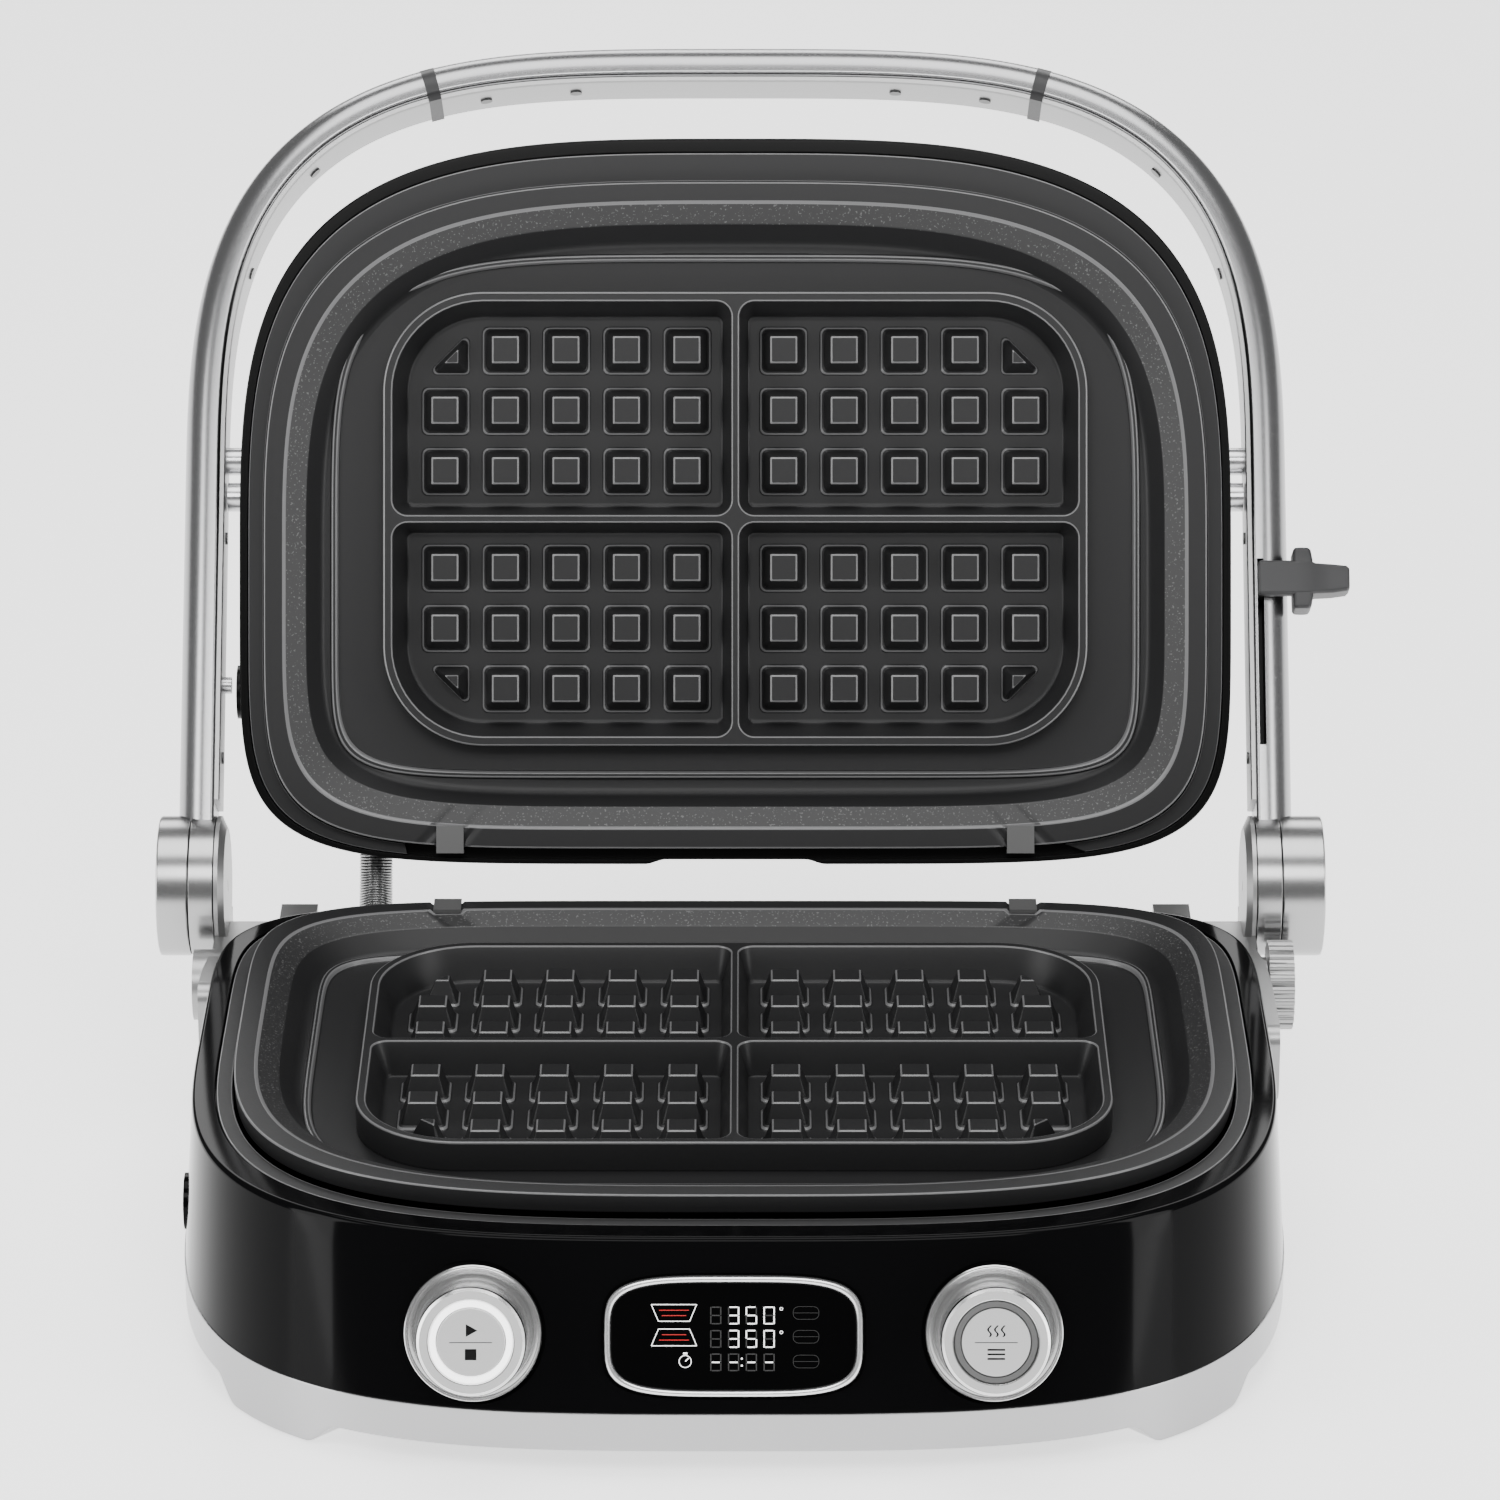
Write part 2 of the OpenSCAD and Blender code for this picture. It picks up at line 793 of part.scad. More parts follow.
module knob_cap() {
    difference() {
        union() {
            translate([0, 0, cap_low]) cylinder(h = knob_len - 1, r = knob_r);
            translate([0, 0, cap_high - 1]) cylinder(h = 1, r1 = knob_r, r2 = knob_r - 1);
            translate([0, 0, -8]) cylinder(h = 8 + cap_low + 1, r = stem_r);
        }
        translate([0, 0, cap_high - button_pocket]) cylinder(h = 10, r = button_pocket_r);
        translate([0, 0, cap_high - 1.4]) cylinder(h = 10, r = light_r);
    }
}

module knob_light() {
    translate([0, 0, cap_high - 1.4]) difference() {
        cylinder(h = 1.3, r = light_r);
        translate([0, 0, -1]) cylinder(h = 5, r = button_pocket_r);
    }
}

module knob_button() {
    translate([0, 0, cap_high - button_h]) cylinder(h = button_h + 0.2, r = button_r);
}

module knob_cap_left() { color(silver) on_seat(-1) knob_cap(); }
module knob_cap_right() { color(silver) on_seat(1) knob_cap(); }
module knob_ring_left() { color("white") on_seat(-1) knob_light(); }
module knob_ring_right() { color(grey) on_seat(1) knob_light(); }
module knob_button_left() { color(silver) on_seat(-1) knob_button(); }
module knob_button_right() { color(silver) on_seat(1) knob_button(); }

module lower_release_button() {
    color(black) translate([0, release_y, release_z]) bar_x(-base_half_w + release_in, -base_half_w + 6, release_r);
}

// ---------- handle ----------

// Point of the handle's inner face, at turn angle t past the straight arm
function bow_point(t) = [
    (bow_half_w - tube_t) * bend(cos(t), bow_side_power),
    bow_turn_r + (bow_reach - bow_turn_r - tube_t) * bend(sin(t), bow_top_power)
];

function bow_dir(t) =
    let (e = 0.2, d = bow_point(t + e) - bow_point(t - e))
    d / norm(d);

// Stations along the handle: [point, direction], the straight arm first
function arm_path(start, end_t) = concat(
    [for (r = [start:(bow_turn_r - start) / 5:bow_turn_r - 1]) [[bow_half_w - tube_t, r], [0, 1]]],
    [for (i = [1:22]) let (t = end_t * i / 22) [bow_point(t), bow_dir(t)]]
);

function span_path(t0, t1, count) = [
    for (i = [0:count]) let (t = t0 + (t1 - t0) * i / count) [bow_point(t), bow_dir(t)]
];

// Places a section point [outwards, across] at a station
function place(station, p) =
    let (at = station[0], d = station[1])
    [at[0] + d[1] * p[0], -(at[1] - d[0] * p[0]), p[1]];

module sweep(path, section) {
    n = len(section);
    m = len(path);
    polyhedron(
        points = [for (s = path, p = section) place(s, p)],
        faces = concat(
            [[for (i = [0:n - 1]) i]],
            [for (k = [0:m - 2], i = [0:n - 1])
                [k * n + i, (k + 1) * n + i, (k + 1) * n + (i + 1) % n, k * n + (i + 1) % n]],
            [[for (i = [n - 1:-1:0]) (m - 1) * n + i]]
        ),
        convexity = 6
    );
}

module arm_screw_holes(depth, r) {
    for (reach = screw_reaches)
        translate([bow_half_w - tube_t - strip_t, -reach, 0]) bar_x(0, depth, r);
}

module arm() {
    difference() {
        union() {
            difference() {
                sweep(arm_path(arm_start, ring_angle - ring_step), tube_section);
                bar_x(arm_cut_x, 200, barrel_r + 0.02);
            }
            bar_x(hub_in, hub_out, barrel_r);
            intersection() {
                translate([hub_in + 1, -barrel_r - 3, -9]) cube([hub_out - hub_in - 1, 12, 18]);
                bar_x(arm_cut_x, 200, barrel_r + 2);
            }
        }
        bar_x(arm_cut_x, 200, pin_r + pin_fit);
        arm_screw_holes(6, strip_screw_r);
        translate([0, -pivot_r, 0]) {
            bar_x(arm_cut_x, bow_half_w - tube_t, pivot_pin_r + pin_fit);
            bar_x(arm_cut_x, bow_half_w - tube_t + shank_in, stop_shank_r);
        }
    }
}

module arm_left() { color(silver) bow() mirror([1, 0, 0]) arm(); }

module arm_right() {
    color(silver) bow() difference() {
        arm();
        translate([slot_x, -slot_high, -tube_d]) cube([slot_w, slot_high - slot_low, tube_d - 1.5]);
    }
}

module grip() {
    color(silver) bow() both_sides()
        sweep(span_path(ring_angle + ring_step, 90, 14), tube_section);
}

module grip_rings() {
    color(grey) bow() both_sides()
        sweep(span_path(ring_angle - ring_step, ring_angle + ring_step, 2),
            [for (p = tube_section) [p[0] < 0.1 ? -strip_t : p[0] + 0.15, p[1] * 1.01]]);
}

module arm_strip() {
    difference() {
        sweep(arm_path(strip_start, ring_angle - ring_step), strip_section);
        arm_screw_holes(6, strip_screw_r);
        screw_heads(strip_head_r + slack);
        translate([0, -pivot_r, 0]) bar_x(arm_cut_x, 180, pivot_pin_r + pin_fit);
    }
}

module arm_strip_left() { color(silver) bow() mirror([1, 0, 0]) arm_strip(); }
module arm_strip_right() { color(silver) bow() arm_strip(); }

module grip_strip() {
    color(silver) bow() both_sides() difference() {
        sweep(span_path(ring_angle + ring_step, 90, 14), strip_section);
        screw_heads(strip_head_r + slack);
    }
}

module strip_screws() {
    color(steel) bow() both_sides() {
        screw_heads(strip_head_r);
        for (reach = screw_reaches)
            translate([bow_half_w - tube_t, -reach, 0]) bar_x(-strip_t, shank_in, strip_screw_r - pin_fit);
    }
}

// Heads of the screws along the strips, or their seats
module screw_heads(r) {
    for (reach = screw_reaches)
        translate([bow_half_w - tube_t, -reach, 0]) bar_x(-strip_t - strip_head_h, -strip_t, r);
    for (t = screw_turns)
        let (at = bow_point(t), d = bow_dir(t), turn = atan2(d[0], d[1]))
        translate([at[0], -at[1], 0]) rotate([0, 0, turn])
            bar_x(-strip_t - strip_head_h, -strip_t, r);
}

module hinge_cap(out) {
    bar_x(hub_out, out - 1.5, barrel_r);
    translate([out - 1.5, 0, 0]) rotate([0, 90, 0]) cylinder(h = 1.5, r1 = barrel_r, r2 = barrel_r - 1.5);
}

module hinge_cap_left() { color(silver) bow() mirror([1, 0, 0]) hinge_cap(cap_left_out); }
module hinge_cap_right() { color(silver) bow() hinge_cap(cap_right_out); }

module pivot_pins() {
    color(steel) bow() both_sides() translate([0, -pivot_r, 0]) {
        bar_x(lid_half_w - 7, bow_half_w - tube_t, pivot_pin_r);
        bar_x(bow_half_w - tube_t, bow_half_w - tube_t + shank_in, stop_shank_r - pin_fit);
    }
}

module guide_stud() {
    color(steel) bow() mirror([1, 0, 0]) translate([0, -stud_reach, 0]) {
        bar_x(lid_half_w + 3, bow_half_w - tube_t - strip_t, stud_r);
    }
}

module height_lever() {
    low = -tube_d / 2 - 5;
    face = -tube_d / 2 - 0.6;
    color(grey) bow() translate([0, -lever_reach, 0]) {
        translate([slot_x + 0.2, -5, face - 1]) cube([slot_w - 0.4, 10, 9]);
        translate([slot_x + 0.2, -5.9, low]) cube([bow_half_w + 19.4 - slot_x, 11.8, face - low]);
        translate([bow_half_w + 0.7, -10.3, low]) cube([6.7, 20.6, tube_d / 2 + 7]);
        translate([bow_half_w + 7, -5.9, low]) cube([12.6, 11.8, 11]);
    }
}

// ---------- lid, drawn closed ----------

module lid_rim() {
    color(black) opened() difference() {
        union() {
            difference() {
                slab(lid_half_w, lid_front, lid_rear, lid_rim_z, lid_top_z);
                slab(lid_half_w - 3, lid_front - 3, lid_rear - 3, lid_rim_z + ring_h + ledge_h, lid_top_z + 1);
                slab(ring_half_w + slack, ring_front + slack, ring_rear + slack, lid_rim_z - 1, lid_rim_z + ring_h);
                slab(ring_half_w - ledge_in, ring_front - ledge_in, ring_rear - ledge_in, lid_rim_z - 1, lid_top_z);
            }
            both_sides() at_pivot(pivot_r) bar_x(lid_half_w - 8, lid_half_w - 2, 9);
            both_sides() at_pivot(stop_r) bar_x(lid_half_w - 8, lid_half_w - 2, 5);
        }
        both_sides() at_pivot(pivot_r) bar_x(150, 170, pivot_pin_r + pin_fit);
        both_sides() at_pivot(stop_r) bar_x(150, 170, stop_shank_r);
        translate([0, upper_release_y, upper_release_z])
            bar_x(-lid_half_w - 5, -lid_half_w + 9, release_r + 0.3);
        translate([-28, plan_y + lid_rear - 2.2, lid_rim_z - 1]) cube([56, 10, 8]);
        translate([conduit_x, 95, hinge_z + conduit_bend]) rotate([-90, 0, 0])
            cylinder(h = 30, r = gland_r + 0.2);
    }
}

// A place on the closed lid that meets the handle's arm at the given reach
module at_pivot(reach) {
    translate([0, hinge_y - reach * cos(bow_lean), hinge_z + reach * sin(bow_lean)]) children();
}

module lid_cover() {
    inset = cover_sheet;
    top = lid_top_z + lid_dome_h;
    color(steel) opened() difference() {
        tapered(lid_half_w - 0.4, lid_front - 0.4, lid_rear - 0.4, lid_top_z,
            lid_half_w - 16, lid_front - 16, lid_rear - 16, top);
        tapered(lid_half_w - 0.4 - inset, lid_front - 0.4 - inset, lid_rear - 0.4 - inset, lid_top_z - 0.01,
            lid_half_w - 16 - inset, lid_front - 16 - inset, lid_rear - 16 - inset, top - inset);
    }
}

module lid_ring() {
    color(grey) opened() difference() {
        slab(ring_half_w, ring_front, ring_rear, lid_rim_z, lid_rim_z + ring_h);
        slab(plate_half_w + ring_gap, plate_front + ring_gap, plate_rear + ring_gap, lid_rim_z - 1, lid_top_z);
        translate([-ring_gap_x, 60, 0]) cube([2 * ring_gap_x, 100, 200]);
    }
}

module upper_plate() {
    color(grey) opened() translate([0, 0, lid_z]) mirror([0, 0, 1]) plate();
}

module upper_element() {
    color(steel) opened() translate([0, 0, lid_z + element_drop]) element();
}

module upper_reflector() {
    color(silver) opened() translate([0, 0, lid_z + pan_drop]) mirror([0, 0, 1]) reflector_pan();
}

module upper_clips() {
    color(steel) opened() translate([0, 0, lid_z]) mirror([0, 0, 1]) clips();
}

module upper_sensor() {
    color(steel) opened() translate([30, 20, lid_z + 20.6]) mirror([0, 0, 1]) {
        cylinder(h = 6.5, r = 5);
        translate([0, 0, -3.5]) cylinder(h = 3.6, r = 2);
    }
}

module stop_pins() {
    color(steel) opened() both_sides() at_pivot(stop_r) {
        bar_x(lid_half_w - 6, lid_half_w + 0.2, stop_shank_r);
        bar_x(lid_half_w + 0.1, bow_half_w - tube_t - strip_t - 0.5, stop_pin_r);
    }
}

module lid_posts() {
    color(steel) opened() translate([0, 0, lid_z]) mirror([0, 0, 1])
        at_posts() post(lid_z - lid_top_z - lid_dome_h + cover_sheet, -pan_drop);
}

module upper_release_button() {
    color(black) opened() translate([0, upper_release_y, upper_release_z])
        bar_x(-lid_half_w - 1.6, -lid_half_w + 5, release_r);
}

base_housing();
base_band();
bottom_cover();
foot_pads();
base_screws();
lower_ring();
lower_plate();
lower_element();
lower_reflector();
lower_clips();
hinge_bracket_left();
hinge_bracket_right();
hinge_pins();
display_bezel();
display_lens();
display_board();
knob_skirts();
encoders();
power_board();
base_posts();
cord_inlet();
conduit_gland_base();
conduit();
lower_sensor();
lower_release_button();
release_lever();
knob_cap_left();
knob_cap_right();
knob_ring_left();
knob_ring_right();
knob_button_left();
knob_button_right();
arm_left();
arm_right();
grip();
grip_rings();
arm_strip_left();
arm_strip_right();
grip_strip();
strip_screws();
hinge_cap_left();
hinge_cap_right();
pivot_pins();
guide_stud();
height_lever();
lid_rim();
lid_cover();
lid_ring();
upper_plate();
upper_element();
upper_reflector();
upper_clips();
upper_sensor();
stop_pins();
conduit_gland_lid();
lid_posts();
upper_release_button();
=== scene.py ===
"""Waffle maker, open: the looks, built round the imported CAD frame.

Blender works in metres. Outlines and profiles here are in millimetres, and mesh_object() scales them by MM.
"""
import json
import math
from itertools import product

import bmesh
import bpy
import numpy as np
from mathutils import Matrix, Vector


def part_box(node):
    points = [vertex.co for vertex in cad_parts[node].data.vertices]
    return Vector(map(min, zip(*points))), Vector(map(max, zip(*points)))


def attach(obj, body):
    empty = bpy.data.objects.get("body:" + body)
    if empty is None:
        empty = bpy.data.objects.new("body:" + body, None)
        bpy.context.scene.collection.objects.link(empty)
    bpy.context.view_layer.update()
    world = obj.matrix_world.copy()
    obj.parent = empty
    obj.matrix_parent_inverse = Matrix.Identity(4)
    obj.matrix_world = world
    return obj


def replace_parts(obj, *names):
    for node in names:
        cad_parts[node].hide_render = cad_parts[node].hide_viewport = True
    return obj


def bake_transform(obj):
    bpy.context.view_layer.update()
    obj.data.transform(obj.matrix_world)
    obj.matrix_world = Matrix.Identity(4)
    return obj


MM = 0.001
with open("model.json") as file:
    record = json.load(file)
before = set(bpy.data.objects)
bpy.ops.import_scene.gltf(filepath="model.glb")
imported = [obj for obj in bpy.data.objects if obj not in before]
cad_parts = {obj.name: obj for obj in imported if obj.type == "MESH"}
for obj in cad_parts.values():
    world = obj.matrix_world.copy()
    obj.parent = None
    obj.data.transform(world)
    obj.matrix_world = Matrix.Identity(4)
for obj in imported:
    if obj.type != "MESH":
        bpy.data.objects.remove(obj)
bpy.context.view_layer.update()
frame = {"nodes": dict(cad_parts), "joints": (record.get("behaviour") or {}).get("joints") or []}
NODES = frame["nodes"]
JOINTS = {j["name"]: j for j in frame["joints"]}


def size_mm(node):
    """Lowest and highest corner of a CAD node, in millimetres."""
    low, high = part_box(node)
    return low / MM, high / MM


# ------------ dimensions, from the frame where it has them

PLAN_Y = 13.3
FRONT_POWER = 3.37
REAR_POWER = 6.0
RIDGE_POWERS = (4.6, 9.0)
STEPS = 720

base_low, base_high = size_mm("base_band")
BASE_W = base_high.x
BASE_FRONT = PLAN_Y - base_low.y
BASE_REAR = base_high.y - PLAN_Y
BAND_TOP = base_high.z
BAND_LOW = 8.5
FOOT_LOW = base_low.z
RIM_Z = size_mm("base_housing")[1].z
RIM_W, RIM_FRONT, RIM_REAR = BASE_W - 3.5, BASE_FRONT - 15.8, BASE_REAR - 2
WALL = 6.0
FOOT_X, FOOT_Y_REAR, FOOT_Y_FRONT = 128.5, 95.0, 104.0
FOOT_CLIMB = 9.6
PANEL_LEAN = math.atan((BASE_FRONT - RIM_FRONT) / (RIM_Z - BAND_TOP))

plate_low, plate_high = size_mm("lower_plate")
PART_Z = plate_high.z
PLATE_W = plate_high.x
PLATE_FRONT = PLAN_Y - plate_low.y
PLATE_REAR = plate_high.y - PLAN_Y
FLOOR_Z = -9.8
POCKET_Z = -11.0
PLATE_GAP = 3.0
RIDGE_OUT = 134.3
RIDGE_H = 1.5

ring_low, ring_high = size_mm("lower_ring")
RING_W = ring_high.x
RING_FRONT = PLAN_Y - ring_low.y
RING_REAR = 99.0
RING_TOP = ring_high.z
RING_H = ring_high.z - ring_low.z
RING_LOW = RING_TOP - RING_H
RING_END_X = 108.0
SEAT_IN, SEAT_STEP = 5.4, 2.4

LID_W = size_mm("lid_rim")[1].x
LID_FRONT = 139.4
LID_REAR = 100.8
LID_Z = PART_Z + PLATE_GAP
LID_RIM_Z = LID_Z + PART_Z - RING_TOP
LID_TOP_Z = LID_RIM_Z + 33.0
LID_BACK_Z = LID_TOP_Z + 8.0
NOTCH_HALF, NOTCH_SLOPE, NOTCH_DEPTH = 30.0, 7.0, 1.6
PIN_SEATS = ((144.5, 9.0), (132.2, 5.0))
PIN_SEAT_H = 8.2

MOULD_W, MOULD_D, MOULD_R = 232.6, 149.9, 33.0
PEG_PITCH, PEG_FIRST = 20.0, 16.0
PEG_BASE, PEG_TOP, PEG_H = 15.8, 8.6, 8.0
CLIP_X, CLIP_HALF, CLIP_SINK = 94.2, 5.3, 1.6

HINGE = Vector(JOINTS["handle_hinge"]["pos_m"]) / MM
OPEN_ANGLE = JOINTS["handle_hinge"]["range_deg"][1]
BOW_LEAN = 12.5
BARREL_R = 23.0
BOW_W = 183.6
BOW_REACH = 288.3
BOW_TURN_R = 139.3
TUBE_T, TUBE_D = 12.2, 24.0
STRIP_T, STRIP_D = 1.6, 20.0
RING_ANGLE, RING_STEP = 67.4, 0.9
ARM_START, STRIP_START = 14.0, 27.0
LEVER_REACH = 100.6
SLOT_X = 172.8
SLOT_W = 2.2
SLOT_LOW, SLOT_HIGH = 45.0, 108.2

KNOB_X = 77.1
KNOB_DROP = 29.5
SEAT = -1.5
SEAT_R = 21.6
DISPLAY_DROP = 29.2
DISPLAY_W, DISPLAY_H = 76.5, 36.0
DISPLAY_POWER = 4.0

# outlines as half width, front depth and rear depth
BASE = (BASE_W, BASE_FRONT, BASE_REAR)
RIM = (RIM_W, RIM_FRONT, RIM_REAR)
PLATE = (PLATE_W, PLATE_FRONT, PLATE_REAR)
RING = (RING_W, RING_FRONT, RING_REAR)
LID = (LID_W, LID_FRONT, LID_REAR)

# ------------ places


def opened():
    """Turns the closed lid to its rest pose."""
    turn = Matrix.Rotation(-math.radians(OPEN_ANGLE), 4, "X")
    return Matrix.Translation(HINGE) @ turn @ Matrix.Translation(-HINGE)


def bow():
    """The handle's own frame: x along the hinge, -y away from it."""
    angle = -math.radians(OPEN_ANGLE + BOW_LEAN)
    return Matrix.Translation(HINGE) @ Matrix.Rotation(angle, 4, "X")


def on_panel(x, drop):
    """A place on the sloping front wall, z pointing straight out of it."""
    reach = (1 - (abs(x) / RIM_W) ** FRONT_POWER) ** (1 / FRONT_POWER)
    y = PLAN_Y - RIM_FRONT * reach - drop * math.sin(PANEL_LEAN)
    z = RIM_Z - drop * math.cos(PANEL_LEAN)
    return Matrix.Translation((x, y, z)) @ Matrix.Rotation(math.pi / 2 - PANEL_LEAN, 4, "X")


# ------------ materials

BUMP_DEPTH = 0.0001


def put(node, **values):
    """Sets a node's inputs; underscores stand for the spaces in their names."""
    for key, value in values.items():
        node.inputs[key.replace("_", " ")].default_value = value


def material(name, colour, rough, metal=0.0, spec=0.5, grain=0.0, bump=0.0, scale=900.0,
             stretch=(1, 1, 1), mottle=0.0):
    """A procedural finish. Noise moves the roughness by grain and the colour by mottle, and makes a bump."""
    mat = bpy.data.materials.new(name)
    mat.use_nodes = True
    nodes, links = mat.node_tree.nodes, mat.node_tree.links
    shader = nodes["Principled BSDF"]
    put(shader, Base_Color=(*colour, 1), Roughness=rough, Metallic=metal, Specular_IOR_Level=spec)
    place = nodes.new("ShaderNodeTexCoord")
    mapping = nodes.new("ShaderNodeMapping")
    put(mapping, Scale=stretch)
    noise = nodes.new("ShaderNodeTexNoise")
    put(noise, Scale=scale, Detail=4)
    links.new(place.outputs["Object"], mapping.inputs["Vector"])
    links.new(mapping.outputs["Vector"], noise.inputs["Vector"])
    spread = nodes.new("ShaderNodeMapRange")
    put(spread, To_Min=max(0.0, rough - grain), To_Max=min(1.0, rough + grain))
    links.new(noise.outputs["Fac"], spread.inputs["Value"])
    links.new(spread.outputs["Result"], shader.inputs["Roughness"])
    if mottle:
        tint = nodes.new("ShaderNodeMix")
        tint.data_type = "RGBA"
        put(tint, A=(*[c * (1 - mottle) for c in colour], 1), B=(*[min(1, c * (1 + mottle)) for c in colour], 1))
        links.new(noise.outputs["Fac"], tint.inputs["Factor"])
        links.new(tint.outputs["Result"], shader.inputs["Base Color"])
    if bump:
        relief = nodes.new("ShaderNodeBump")
        put(relief, Strength=bump, Distance=BUMP_DEPTH)
        links.new(noise.outputs["Fac"], relief.inputs["Height"])
        links.new(relief.outputs["Normal"], shader.inputs["Normal"])
    return mat


def speckled(name, colour, rough, speck, share):
    """A coating with fine specks of brightness speck, where a noise passes share."""
    mat = material(name, colour, rough, grain=0.06, bump=0.10, scale=1500)
    nodes, links = mat.node_tree.nodes, mat.node_tree.links
    shader = nodes["Principled BSDF"]
    place = nodes["Texture Coordinate"]
    dots = nodes.new("ShaderNodeTexNoise")
    put(dots, Scale=1400, Detail=1)
    links.new(place.outputs["Object"], dots.inputs["Vector"])
    rise = nodes.new("ShaderNodeMapRange")
    put(rise, From_Min=share, From_Max=share + 0.05)
    links.new(dots.outputs["Fac"], rise.inputs["Value"])
    tint = nodes.new("ShaderNodeMix")
    tint.data_type = "RGBA"
    put(tint, A=(*colour, 1), B=(speck, speck, speck, 1))
    links.new(rise.outputs["Result"], tint.inputs["Factor"])
    links.new(tint.outputs["Result"], shader.inputs["Base Color"])
    return mat


def glowing(name, colour, strength):
    """A finish that gives light."""
    mat = material(name, colour, 0.4)
    put(mat.node_tree.nodes["Principled BSDF"], Emission_Color=(*colour, 1), Emission_Strength=strength)
    return mat


GLOSS_BLACK = material("gloss_black", (0.002, 0.002, 0.0022), 0.08, spec=0.06, grain=0.01)
SATIN_BLACK = material("satin_black", (0.002, 0.002, 0.002), 0.30, spec=0.12, grain=0.03)
BLACK = material("black_plastic", (0.012, 0.012, 0.012), 0.5, spec=0.3, grain=0.05)
DARK = material("dark_plastic", (0.024, 0.024, 0.025), 0.42, spec=0.35, grain=0.05, bump=0.08)
RING_GREY = material("ring_grey", (0.015, 0.015, 0.0155), 0.42, spec=0.25, grain=0.04, bump=0.04)
NONSTICK = material("nonstick", (0.012, 0.012, 0.0125), 0.42, spec=0.28, grain=0.05, bump=0.12,
                    scale=1300, mottle=0.12)
FACET = speckled("nonstick_facet", (0.014, 0.014, 0.0145), 0.48, 0.08, 0.64)
# painted highlight: a lighter grey for the narrow rounded edges of the plates, pockets, pegs and grey rings,
# standing for the thin bright lines that light draws along them
EDGE_HIGHLIGHT = material("painted_edge_highlight", (0.12, 0.12, 0.122), 0.30, grain=0.04)
COATED = [NONSTICK, EDGE_HIGHLIGHT, FACET]
SILVER = material("silver_paint", (0.38, 0.38, 0.385), 0.24, metal=0.9, grain=0.04)
CAST = material("cast_silver", (0.36, 0.36, 0.36), 0.34, metal=0.85, grain=0.05, bump=0.03)
HANDLE = material("handle_metal", (0.36, 0.36, 0.365), 0.26, metal=1.0, grain=0.03)
STRIP = material("handle_strip", (0.33, 0.33, 0.33), 0.34, metal=0.9, grain=0.03)
BARREL = material("barrel_metal", (0.38, 0.38, 0.38), 0.24, metal=1.0, grain=0.05,
                  scale=400, stretch=(30, 0.2, 0.2))
KNOB = material("knob_metal", (0.70, 0.70, 0.70), 0.22, metal=1.0, grain=0.04)
KNOB_FACE = material("knob_face", (0.50, 0.50, 0.50), 0.45, metal=0.25, grain=0.03)
CHROME = material("polished_trim", (0.80, 0.80, 0.81), 0.22, metal=0.85, grain=0.02)
COVER = material("brushed_cover", (0.34, 0.34, 0.345), 0.32, metal=1.0, grain=0.10, bump=0.08,
                 scale=300, stretch=(0.3, 12, 12))
SCREEN = material("screen", (0.001, 0.001, 0.0011), 0.05, spec=0.08, grain=0.005)
LIGHT_ON = glowing("light_on", (1.0, 1.0, 1.0), 2.2)
LIGHT_OFF = material("light_off", (0.10, 0.10, 0.10), 0.3, grain=0.03)
SIGN = glowing("display_white", (1.0, 1.0, 1.0), 1.3)
SIGN_RED = glowing("display_red", (0.50, 0.015, 0.015), 0.40)
SIGN_DIM = material("display_unlit", (0.016, 0.016, 0.016), 0.5)
INK = material("printed_mark", (0.004, 0.004, 0.004), 0.6, spec=0.1)
BOARD = material("board_green", (0.03, 0.16, 0.07), 0.5, grain=0.05)
RUBBER = material("rubber", (0.015, 0.015, 0.015), 0.7, grain=0.05)
STEEL = material("steel", (0.60, 0.60, 0.61), 0.26, metal=1.0, grain=0.05)
# dark steel for the strip screws; the same grey is also painted shade in the conduit's grooves
DARK_STEEL_AND_GROOVE_SHADE = material("dark_steel_and_groove_shade", (0.10, 0.10, 0.10), 0.35, metal=0.9, grain=0.05)
CLIP = material("clip_steel", (0.10, 0.10, 0.10), 0.42, metal=0.4, grain=0.05)
HEATER = material("heater_steel", (0.30, 0.28, 0.26), 0.5, metal=0.9, grain=0.08)
SHEET = material("bright_sheet", (0.70, 0.70, 0.70), 0.25, metal=1.0, grain=0.05)
RIBBED = material("conduit_steel", (0.40, 0.40, 0.40), 0.28, metal=1.0, grain=0.04)

CAD_NAMES = (
    (GLOSS_BLACK, "base_housing lower_release_button"),
    (SILVER, "base_band"),
    (BLACK, "bottom_cover encoders"),
    (RUBBER, "foot_pads cord_inlet"),
    (STEEL, "base_screws base_posts conduit_gland_base lower_sensor pivot_pins guide_stud "
     "upper_sensor stop_pins conduit_gland_lid lid_posts"),
    (RING_GREY, "lower_ring lid_ring"),
    (NONSTICK, "lower_plate upper_plate"),
    (HEATER, "lower_element upper_element"),
    (SHEET, "lower_reflector upper_reflector"),
    (CLIP, "lower_clips upper_clips"),
    (CAST, "hinge_bracket_left hinge_bracket_right hinge_pins release_lever"),
    (CHROME, "display_bezel"),
    (SCREEN, "display_lens"),
    (BOARD, "display_board power_board"),
    (KNOB, "knob_skirts knob_cap_left knob_cap_right"),
    (RIBBED, "conduit"),
    (LIGHT_ON, "knob_ring_left"),
    (LIGHT_OFF, "knob_ring_right"),
    (KNOB_FACE, "knob_button_left knob_button_right"),
    (HANDLE, "arm_left arm_right grip"),
    (DARK, "grip_rings height_lever"),
    (STRIP, "arm_strip_left arm_strip_right grip_strip"),
    (DARK_STEEL_AND_GROOVE_SHADE, "strip_screws"),
    (BARREL, "hinge_cap_left hinge_cap_right"),
    (SATIN_BLACK, "lid_rim upper_release_button"),
    (COVER, "lid_cover"),
)
CAD_FINISH = {name: mat for mat, names in CAD_NAMES for name in names.split()}
